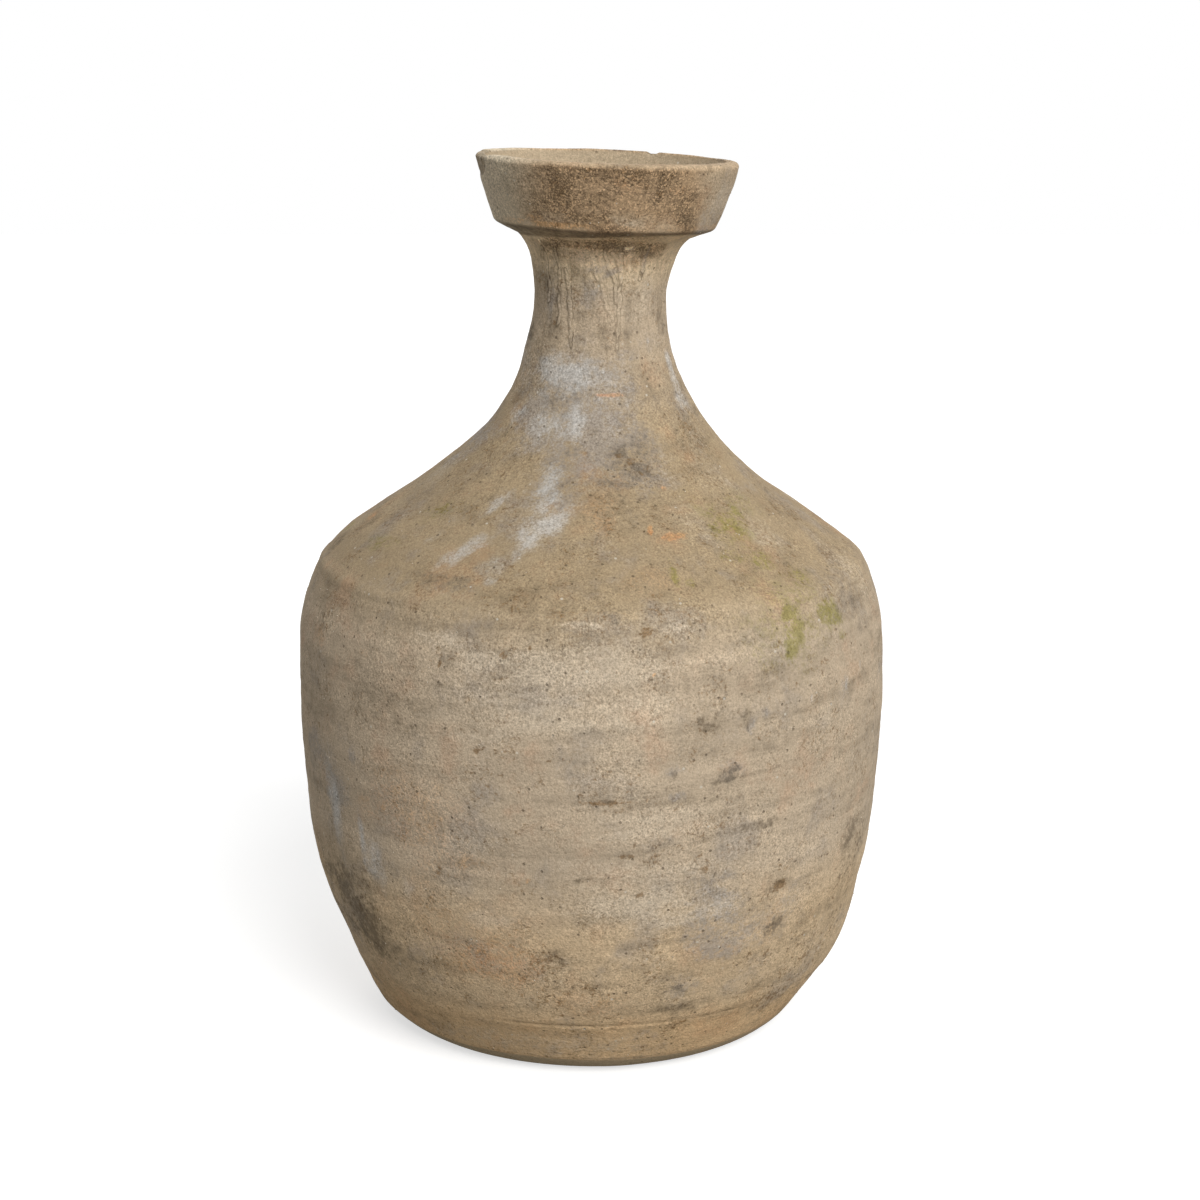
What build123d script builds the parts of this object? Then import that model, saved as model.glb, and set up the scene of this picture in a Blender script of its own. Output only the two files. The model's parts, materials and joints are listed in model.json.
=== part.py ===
from build123d import *
import math
import os

os.makedirs("parts", exist_ok=True)

# Terracotta water jar, in millimetres, standing on its foot with +Z up. The origin is the middle
# of the foot, on the floor, and -Y is the side that is seen from the front. The jar is thrown in
# sections that are luted one on the next: the rim of each section has a V groove all round, and
# the foot of the next has a ridge that sits in it. The body is upright, and the neck and its cup
# lean a little to +X, as a wet neck settles on a heavy jar.

# Heights above the floor of the joints, and of the level where the belly starts to turn in
base_thickness = 15.0
foot_band_top = 46.0
lower_wall_top = 172.0
belly_turn_height = 279.0
belly_wall_top = 324.0
neck_foot_height = 470.0

# Lengths along the leaning axis of the neck
neck_length = 78.5
cup_height = 52.5
cup_ledge_rise = 7.5

# Radii of the outside
foot_radius = 131.0
base_edge_radius = 153.0
foot_band_radius = 171.8
lower_wall_radius = 202.5
belly_radius = 205.2
belly_turn_radius = 203.6
shoulder_radius = 190.6
neck_foot_radius = 50.7
throat_radius = 45.9
neck_flare_radius = 49.6
neck_top_radius = 59.0
cup_foot_radius = 74.5
rim_radius = 89.2

# Thickness of the clay, square to the surface, at each joint
base_edge_wall = 16.0
foot_band_wall = 15.0
lower_wall_wall = 13.0
belly_wall_wall = 12.5
neck_foot_wall = 11.0
cup_wall = 9.0
lip_wall = 8.5
lip_round = 6.0

# The straight bore of the throat, which takes a stopper
bore_radius = 34.0
bore_length = 40.0
bore_start = 16.0
cup_floor_radius = 45.0

# The lean of the neck, and how far its foot stands to +X of the body's middle
neck_lean = 2.3
neck_shift = 5.3

# The lute: a ridge below a section and the V groove in the rim under it
lute_width = 5.0
lute_depth = 3.0
seam_chamfer = 1.4

# The coil pressed into the corner inside the base
coil_leg = 15.0
coil_hollow = 2.0

# The worn bottom edge, and the flakes broken off the lip
edge_bulge = 3.2
overrun = 5.0
flake_radius = 50.0
flake_depth = 2.6
nick_radius = 11.0
nick_depth = 1.8

# Where the arcs of the outline pass between their ends, as shares of the height and of the radius
lower_shares = ((0.488, 0.70),)
belly_height_share = 0.505
belly_turn_shares = ((0.51, 0.335),)
shoulder_shares = ((0.055, 0.043), (0.12, 0.119), (0.22, 0.263), (0.42, 0.560), (0.62, 0.788), (0.80, 0.919))

# How far each shoulder ring has moved towards the neck's middle, and turned to the neck's lean
shift_shares = (0.0, -0.20, -0.35, -0.25, 0.30, 0.95, 1.15, 1.0)
lean_shares = (0.0, 0.02, 0.05, 0.10, 0.25, 0.45, 0.70, 1.0)

# Heights of the neck's waist, and of the start of the flare under the cup, as shares of its length
waist_share = 0.41
flare_foot_share = 0.79
flare_shares = ((0.52, 0.35),)

# Where the flakes are: degrees round from +X, and share of the cup's height
flake_shares = ((182.0, 0.86), (195.0, 0.87))
nick_angle = 67.0


def between(start, end, shares):
    """Points from start to end, each at a share of the height and a share of the radius."""
    return [
        (start[0] + radius_share * (end[0] - start[0]), start[1] + height_share * (end[1] - start[1]))
        for height_share, radius_share in shares
    ]


def wall_at(height):
    """Thickness of the clay at a height, which thins evenly from each joint to the next."""
    for (low, low_wall), (high, high_wall) in zip(joint_walls, joint_walls[1:]):
        if height <= high:
            return low_wall + (high_wall - low_wall) * (height - low) / (high - low)
    return joint_walls[-1][1]


def inside_point(index):
    """The point of the inner surface level with a point of the outline, a wall's thickness away."""
    radius, height = outside[index]
    below = outside[max(index - 1, 0)]
    above = outside[min(index + 1, len(outside) - 1)]
    slope = (above[0] - below[0]) / (above[1] - below[1])
    return radius - wall_at(height) * math.hypot(1, slope), height


def stretch(line, first, last):
    """The part of a line that runs from one joint of the outline to another."""
    return line[outside.index(first):outside.index(last) + 1]


def arcs(points):
    """One arc through each three points of a stretch, the next arc starting where it ends."""
    for start in range(0, len(points) - 1, 2):
        ThreePointArc(*points[start:start + 3])


def lute_points(inner, outer):
    """The V of the joint between an inner and an outer point at one height, from inside out."""
    middle = (inner[0] + outer[0]) / 2
    height = outer[1]
    return (
        (middle - lute_width / 2, height),
        (middle, height - lute_depth),
        (middle + lute_width / 2, height),
    )


def lute(inner, outer):
    """The line across a joint, from the inner surface to the outer one, with its V."""
    return Polyline(inner, *lute_points(inner, outer), outer)


def ring_plane(shift_share, lean_share, height):
    """The level of one ring of the shoulder or neck, moved and turned from the body's axis."""
    lean = math.radians(neck_lean * lean_share)
    return Plane(
        origin=(neck_shift * shift_share, 0, height),
        x_dir=(math.cos(lean), 0, -math.sin(lean)),
        z_dir=(math.sin(lean), 0, math.cos(lean)),
    )


base_edge = (base_edge_radius, base_thickness)
foot_top = (foot_band_radius, foot_band_top)
lower_top = (lower_wall_radius, lower_wall_top)
belly_rise = belly_turn_height - lower_wall_top
widest = (belly_radius, lower_wall_top + belly_rise * belly_height_share)
belly_turn = (belly_turn_radius, belly_turn_height)
shoulder_foot = (shoulder_radius, belly_wall_top)
neck_foot = (neck_foot_radius, neck_foot_height)

outside = [base_edge, foot_top]
outside += between(foot_top, lower_top, lower_shares) + [lower_top, widest, belly_turn]
outside += between(belly_turn, shoulder_foot, belly_turn_shares) + [shoulder_foot]
outside += between(shoulder_foot, neck_foot, shoulder_shares) + [neck_foot]

joint_walls = (
    (base_thickness, base_edge_wall),
    (foot_band_top, foot_band_wall),
    (lower_wall_top, lower_wall_wall),
    (belly_wall_top, belly_wall_wall),
    (neck_foot_height, neck_foot_wall),
)
inside = [inside_point(index) for index in range(len(outside))]


def inner(joint):
    """The inner point at a joint of the outline."""
    return inside[outside.index(joint)]


# Base disc: a slab beaten flat, with its edge rounded by wear, and the groove for the foot band
with BuildPart() as base_disc:
    with BuildSketch(Plane.XZ):
        with BuildLine():
            Line((0, 0), (foot_radius, 0))
            ThreePointArc(
                (foot_radius, 0),
                ((foot_radius + base_edge_radius + edge_bulge) / 2, (base_thickness - edge_bulge) / 2),
                base_edge,
            )
            lute(inner(base_edge), base_edge)
            Line(inner(base_edge), (0, base_thickness))
            Line((0, base_thickness), (0, 0))
        make_face()
    revolve(axis=Axis.Z)

# Foot band: the first thick ring, with straight walls, and half of the seam that shows above it
with BuildPart() as foot_band:
    with BuildSketch(Plane.XZ):
        with BuildLine():
            Line(base_edge, foot_top)
            lute(inner(foot_top), foot_top)
            Line(inner(foot_top), inner(base_edge))
            lute(inner(base_edge), base_edge)
        make_face()
    revolve(axis=Axis.Z)
    band_rim = foot_band.edges().filter_by_position(Axis.Z, foot_band_top, foot_band_top)
    chamfer(band_rim.sort_by(SortBy.RADIUS)[-1], seam_chamfer)

# Corner coil: a rope of clay thumbed into the corner between the base disc and the foot band
coil_foot = inner(base_edge)
coil_run = (inner(foot_top)[0] - coil_foot[0]) / (foot_band_top - base_thickness)
coil_head = (coil_foot[0] + coil_run * coil_leg, base_thickness + coil_leg)
coil_toe = (coil_foot[0] - coil_leg, base_thickness)
with BuildPart() as base_corner_coil:
    with BuildSketch(Plane.XZ):
        with BuildLine():
            Line(coil_toe, coil_foot)
            Line(coil_foot, coil_head)
            SagittaArc(coil_head, coil_toe, coil_hollow)
        make_face()
    revolve(axis=Axis.Z)

# Lower wall: opens from the foot band to the upright, with the other half of the seam
with BuildPart() as lower_wall:
    with BuildSketch(Plane.XZ):
        with BuildLine():
            arcs(stretch(outside, foot_top, lower_top))
            lute(inner(lower_top), lower_top)
            arcs(stretch(inside, foot_top, lower_top))
            lute(inner(foot_top), foot_top)
        make_face()
    revolve(axis=Axis.Z)
    wall_foot = lower_wall.edges().filter_by_position(Axis.Z, foot_band_top, foot_band_top)
    chamfer(wall_foot.sort_by(SortBy.RADIUS)[-1], seam_chamfer)

# Belly wall: the widest section, which turns in towards the shoulder at its top
with BuildPart() as belly_wall:
    with BuildSketch(Plane.XZ):
        with BuildLine():
            arcs(stretch(outside, lower_top, shoulder_foot))
            lute(inner(shoulder_foot), shoulder_foot)
            arcs(stretch(inside, lower_top, shoulder_foot))
            lute(inner(lower_top), lower_top)
        make_face()
    revolve(axis=Axis.Z)

# The neck stands on its own leaning axis: radius to the right, distance along the axis upwards
neck_ring = ring_plane(1, 1, neck_foot_height)
neck_axis = Axis(neck_ring.origin, neck_ring.z_dir)
neck_section = Plane(origin=neck_ring.origin, x_dir=neck_ring.x_dir, z_dir=(0, -1, 0))
neck_inner_foot = (inner(neck_foot)[0], 0)
neck_outer_foot = (neck_foot_radius, 0)

# Shoulder: lofted ring by ring from the upright belly to the leaning neck, then hollowed alike
shoulder_rings = stretch(outside, shoulder_foot, neck_foot)
shoulder_hollow = stretch(inside, shoulder_foot, neck_foot)
ring_places = list(zip(shift_shares, lean_shares))
with BuildPart() as shoulder:
    for (radius, height), (shift_share, lean_share) in zip(shoulder_rings, ring_places):
        with BuildSketch(ring_plane(shift_share, lean_share, height)):
            Circle(radius)
    loft()
    for (radius, height), (shift_share, lean_share) in zip(shoulder_hollow, ring_places):
        with BuildSketch(ring_plane(shift_share, lean_share, height)):
            Circle(radius)
    loft(mode=Mode.SUBTRACT)
    with BuildSketch(Plane.XZ):
        with BuildLine():
            Polyline(*lute_points(inner(shoulder_foot), shoulder_foot), close=True)
        make_face()
    revolve(axis=Axis.Z)
    with BuildSketch(neck_section):
        with BuildLine():
            groove = lute_points(neck_inner_foot, neck_outer_foot)
            groove_width = lute_width / 2 + lute_width / 2 * overrun / lute_depth
            groove_middle = groove[1][0]
            Polyline(
                groove[1],
                (groove_middle + groove_width, overrun),
                (groove_middle - groove_width, overrun),
                close=True,
            )
        make_face()
    revolve(axis=neck_axis, mode=Mode.SUBTRACT)

# Neck: waisted outside, with a straight bore for a stopper, opening into the cup above
neck_outer_top = (neck_top_radius, neck_length)
neck_inner_top = (cup_floor_radius, neck_length)
waist = (throat_radius, neck_length * waist_share)
flare_foot = (neck_flare_radius, neck_length * flare_foot_share)
bore_foot = (bore_radius, bore_start)
bore_head = (bore_radius, bore_start + bore_length)
with BuildPart() as neck:
    with BuildSketch(neck_section):
        with BuildLine():
            ThreePointArc(neck_outer_foot, waist, flare_foot)
            ThreePointArc(flare_foot, *between(flare_foot, neck_outer_top, flare_shares), neck_outer_top)
            lute(neck_inner_top, neck_outer_top)
            TangentArc(bore_head, neck_inner_top, tangent=(0, 1))
            Line(bore_head, bore_foot)
            TangentArc(bore_foot, neck_inner_foot, tangent=(0, -1))
            lute(neck_inner_foot, neck_outer_foot)
        make_face()
    revolve(axis=neck_axis)

# Rim cup: a ledge over the neck, straight flaring sides and a rounded lip with flakes broken off
cup_top = neck_length + cup_height
cup_ledge = (cup_foot_radius, neck_length + cup_ledge_rise)
lip_outer = (rim_radius, cup_top - lip_round)
lip_crest = (rim_radius - lip_wall / 2, cup_top)
lip_inner = (rim_radius - lip_wall, cup_top - lip_wall / 2)
bowl_foot = (cup_foot_radius - cup_wall, cup_ledge[1] + cup_wall)
bowl_slope = (bowl_foot[0] - lip_inner[0], bowl_foot[1] - lip_inner[1])
with BuildPart() as rim_cup:
    with BuildSketch(neck_section):
        with BuildLine():
            lute(neck_inner_top, neck_outer_top)
            Line(neck_outer_top, cup_ledge)
            Line(cup_ledge, lip_outer)
            ThreePointArc(lip_outer, lip_crest, lip_inner)
            Line(lip_inner, bowl_foot)
            TangentArc(bowl_foot, neck_inner_top, tangent=bowl_slope)
        make_face()
    revolve(axis=neck_axis)
    flake_reach = rim_radius + flake_radius - flake_depth
    for angle, height_share in flake_shares:
        flake_turn = math.radians(angle)
        flake_height = neck_length + cup_height * height_share
        flake_place = (flake_reach * math.cos(flake_turn), flake_reach * math.sin(flake_turn), flake_height)
        with Locations(neck_ring.from_local_coords(flake_place)):
            Sphere(flake_radius, mode=Mode.SUBTRACT)
    nick_turn = math.radians(nick_angle)
    nick_height = cup_top + nick_radius - nick_depth
    nick_place = (lip_crest[0] * math.cos(nick_turn), lip_crest[0] * math.sin(nick_turn), nick_height)
    with Locations(neck_ring.from_local_coords(nick_place)):
        Sphere(nick_radius, mode=Mode.SUBTRACT)

base_disc.part.label = "base_disc"
base_corner_coil.part.label = "base_corner_coil"
foot_band.part.label = "foot_band"
lower_wall.part.label = "lower_wall"
belly_wall.part.label = "belly_wall"
shoulder.part.label = "shoulder"
neck.part.label = "neck"
rim_cup.part.label = "rim_cup"

export_step(base_disc.part, "parts/base_disc.step")
export_step(base_corner_coil.part, "parts/base_corner_coil.step")
export_step(foot_band.part, "parts/foot_band.step")
export_step(lower_wall.part, "parts/lower_wall.step")
export_step(belly_wall.part, "parts/belly_wall.step")
export_step(shoulder.part, "parts/shoulder.step")
export_step(neck.part, "parts/neck.step")
export_step(rim_cup.part, "parts/rim_cup.step")
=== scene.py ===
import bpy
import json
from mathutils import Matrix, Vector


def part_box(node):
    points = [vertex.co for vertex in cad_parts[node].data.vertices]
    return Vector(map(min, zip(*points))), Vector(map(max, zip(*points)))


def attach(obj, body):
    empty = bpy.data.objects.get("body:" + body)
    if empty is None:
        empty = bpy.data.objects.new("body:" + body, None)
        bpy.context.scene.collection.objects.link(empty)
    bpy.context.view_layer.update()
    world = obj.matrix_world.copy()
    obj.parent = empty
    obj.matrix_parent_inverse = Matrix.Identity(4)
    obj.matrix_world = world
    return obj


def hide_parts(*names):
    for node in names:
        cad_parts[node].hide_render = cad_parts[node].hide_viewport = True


bl_info = {
    "name": "Terracotta Water Jar",
    "version": (1, 0, 0),
    "blender": (4, 5, 0),
    "location": "View3D > Sidebar > Water Jar",
    "description": "Throws the weathered walls of a leaning-necked water jar over its solid sections",
    "category": "Add Mesh",
}

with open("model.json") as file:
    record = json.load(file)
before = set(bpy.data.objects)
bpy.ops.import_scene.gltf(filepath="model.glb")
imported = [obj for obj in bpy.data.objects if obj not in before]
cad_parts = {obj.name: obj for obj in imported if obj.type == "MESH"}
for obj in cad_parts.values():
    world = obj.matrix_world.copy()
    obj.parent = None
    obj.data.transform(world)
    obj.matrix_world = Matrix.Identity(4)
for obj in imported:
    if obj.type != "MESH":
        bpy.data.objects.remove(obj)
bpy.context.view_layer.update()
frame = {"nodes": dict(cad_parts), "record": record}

import json
import math
import random

import bpy
from mathutils import Vector

# All lengths are metres and the frame's own. A place on the wall is a turn in degrees, 0 at the
# front and rising to the right, and a height on the jar as it would stand with an upright neck.
neck_bore = next(mount for mount in frame["record"]["mounts"] if mount["name"] == "neck_bore")
MM = 0.001
FULL_TURN = 2 * math.pi


def top_of(node):
    """The height of the top of one solid section."""
    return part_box(node)[1].z


def clay(red, green, blue):
    """A colour written as it shows on a screen, 0 to 255, as the linear values that shaders use."""
    shown = (red / 255, green / 255, blue / 255)
    return tuple(value / 12.92 if value <= 0.04045 else ((value + 0.055) / 1.055) ** 2.4 for value in shown)


def length(name, description, default):
    """A size of the jar that a user can change."""
    return bpy.props.FloatProperty(
        name=name, description=description, default=default, min=0, unit="LENGTH", precision=4
    )


def colour(name, description, default):
    """A colour of the clay, or of what has settled on it."""
    return bpy.props.FloatVectorProperty(
        name=name, description=description, default=default, size=3, min=0, max=1, subtype="COLOR"
    )


def strength(name, description, default):
    """How strong a light is."""
    return bpy.props.FloatProperty(name=name, description=description, default=default, min=0)


class JarSizes(bpy.types.PropertyGroup):
    base_thickness: length("Base", "Thickness of the base disc", top_of("base_disc"))
    foot_top: length("Foot top", "Height of the groove over the foot band", top_of("foot_band"))
    lower_top: length("Lower top", "Height of the joint under the belly wall", top_of("lower_wall"))
    belly_top: length("Belly top", "Height of the joint under the shoulder", top_of("belly_wall"))
    neck_foot: length("Neck foot", "Height of the joint under the neck", 0.470)
    neck_length: length("Neck length", "Length of the neck along its own axis", 0.0785)
    cup_height: length("Cup height", "Height of the cup over the neck", 0.0525)
    belly_radius: length("Belly radius", "Widest radius of the belly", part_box("belly_wall")[1].x)
    foot_radius: length("Foot radius", "Radius of the flat that the jar stands on", 0.131)
    waist_radius: length("Waist radius", "Radius of the neck at its waist", 0.0459)
    bore_radius: length("Bore radius", "Radius of the throat", neck_bore["dims"]["r_mm"] * MM)
    rim_radius: length("Rim radius", "Radius of the cup just under the lip", 0.0892)
    neck_shift: length("Neck shift", "How far the foot of the neck stands to the right", 0.0053)
    wall: length("Wall", "Thickness of the clay in the body", 0.0125)
    row_step: length("Row step", "Distance between two rows of faces on the outside", 0.0016)
    ring_depth: length("Throwing rings", "Depth of the finger rings", 0.0010)
    lump_depth: length("Lumps", "How far the wall swells and sinks", 0.0016)
    grain_depth: length("Grain", "Depth of the sandy grain that is modelled", 0.00010)
    pit_depth: length("Pits", "Depth of the small burst pits", 0.0007)
    groove_depth: length("Foot groove", "Depth of the groove over the foot band", 0.0006)
    drip_height: length("Slip drips", "How far the dried drips on the neck stand out", 0.0005)
    columns: bpy.props.IntProperty(
        name="Columns", description="Faces round each section", default=720, min=48, max=2000
    )


class JarColours(bpy.types.PropertyGroup):
    foot: colour("Foot", "Worn brown clay of the foot", clay(216, 184, 142))
    lower: colour("Lower wall", "Clay under the belly", clay(205, 180, 146))
    belly: colour("Belly", "Pale sandy clay of the belly", clay(192, 173, 148))
    shoulder: colour("Shoulder", "Olive brown clay of the shoulder", clay(167, 147, 117))
    neck: colour("Neck", "Warm clay of the neck", clay(186, 167, 142))
    cup: colour("Cup", "Sooty clay of the cup", clay(188, 167, 139))
    lip: colour("Lip", "Rubbed clay of the lip", clay(196, 172, 141))
    inside: colour("Inside", "Unwashed clay inside", clay(176, 157, 128))
    bloom: colour("Bloom", "Lime bloom", clay(198, 195, 190))
    haze: colour("Haze", "Blue grey film", clay(157, 149, 141))
    moss: colour("Moss", "Living moss", clay(148, 140, 68))
    rust: colour("Rust", "Orange stain", clay(196, 118, 62))
    soot: colour("Soot", "Soot and old dirt", clay(90, 78, 60))
    # Partly painted light: the grey on the left of the cup is lighter than the clay there, to lift the
    # shade that the key light leaves on that side
    ash: colour("Ash", "Grey ash on the left of the cup", clay(215, 200, 174))
    brown: colour("Brown", "Brown dirt in the pores", clay(126, 98, 64))
    # Partly painted light: lighter than the neck's clay, to lift the shadow that the cup casts on it
    collar_painted_light: colour("Collar", "Clay of the neck close under the cup", clay(230, 207, 172))
    grit: colour("Grit", "Lime grains in the clay", clay(216, 208, 192))
    pale: colour("Pale", "Clay rubbed and washed pale", clay(210, 193, 169))
    tan: colour("Tan", "Fresh clay where grains have come out", clay(198, 154, 106))


class JarStudio(bpy.types.PropertyGroup):
    lens: bpy.props.FloatProperty(
        name="Lens", description="Focal length in millimetres", default=73.29, min=1, subtype="NONE"
    )
    tilt: bpy.props.FloatProperty(
        name="Tilt",
        description="How far the camera looks down",
        default=math.radians(13.712),
        subtype="ANGLE",
        unit="ROTATION",
    )
    distance: length("Distance", "From the camera to the jar's middle, along the floor", 1.6667)
    height: length("Height", "Height of the camera", 0.700)
    offset: length("Offset", "How far the camera stands to the right", 0.00623)
    key: strength("Key", "Strength of the key light", 2.58)
    side: strength("Side", "Strength of the light from behind on the right", 0.44)
    back: strength("Back", "Strength of the light from behind", 0.95)
    ambient: strength("Ambient", "Brightness of the room round the jar", 0.30)


# Shares of the outline between its named sizes, as in the solid sections: height, then radius
BASE_EDGE_SHARE = 0.7456
FOOT_TOP_SHARE = 0.8372
LOWER_TOP_SHARE = 0.9868
BELLY_TURN_SHARE = 0.9922
SHOULDER_FOOT_SHARE = 0.9288
LOWER_SHARES = (0.488, 0.70)
WIDEST_HEIGHT_SHARE = 0.355
BELLY_TURN_HEIGHT_SHARE = 0.704
BELLY_CURL_SHARES = (0.51, 0.335)
SHOULDER_SHARES = (
    (0.055, 0.043), (0.12, 0.119), (0.22, 0.263), (0.42, 0.560), (0.62, 0.788), (0.80, 0.919)
)
SHIFT_SHARES = (0.0, -0.20, -0.35, -0.25, 0.30, 0.95, 1.15, 1.0)
LEAN_SHARES = (0.0, 0.02, 0.05, 0.10, 0.25, 0.45, 0.70, 1.0)
WAIST_HEIGHT_SHARE = 0.41
FLARE_FOOT_SHARE = 0.79
FLARE_SHARES = (0.52, 0.35)
NECK_FOOT_RADIUS_SHARE = 1.1046
FLARE_FOOT_RADIUS_SHARE = 1.0806
NECK_TOP_RADIUS_SHARE = 1.2854
CUP_FOOT_RADIUS_SHARE = 0.8352
CUP_FLOOR_RADIUS_SHARE = 1.3235
LEDGE_SHARE = 0.143
LIP_ROUND_SHARE = 0.065
CUP_WALL_SHARE = 0.72
LIP_WALL_SHARE = 0.68
BORE_START_SHARE = 0.204
BORE_END_SHARE = 0.713
EDGE_BULGE = 0.0032
LUTE_WIDTH = 0.005
LUTE_DEPTH = 0.003
LEDGE_ROUND = 0.0022
LIP_CREST_DROP = 0.06
LIP_ROUND_SHARES = (0.28, 0.31)
LIP_EDGE_SHARE = 0.80
LIP_BEND_SHARES = (0.94, 0.06)
LIP_INNER_DROP = 0.20
FOOT_WALL_SHARE = 1.25
WALL_TAPER = 0.37

# How far apart rows of faces stand, in row steps, where they aren't one apart
INSIDE_ROWS = 6
FOOT_ROWS = 0.5
SHOULDER_ROWS = 1.25
NECK_ROWS = 0.65
CUP_ROWS = 0.7
LEDGE_ROWS = 1 / 3
LIP_ROWS = 0.4
LIP_TOP_ROWS = 0.5
LIP_BEND_ROWS = 0.3
THROAT_ROWS = 1.5
BORE_ROWS = 3

# The share of the relief that stretches of the outline take, from their first point to their last
UNDER_SKIN = (0, 0)
EDGE_SKIN = (0, 1)
OUTER_SKIN = (1, 1)
BOWL_SKIN = (0.9, 0.5)
THROAT_SKIN = (0.5, 0.3)
INNER_SKIN = (0.3, 0.3)

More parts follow.
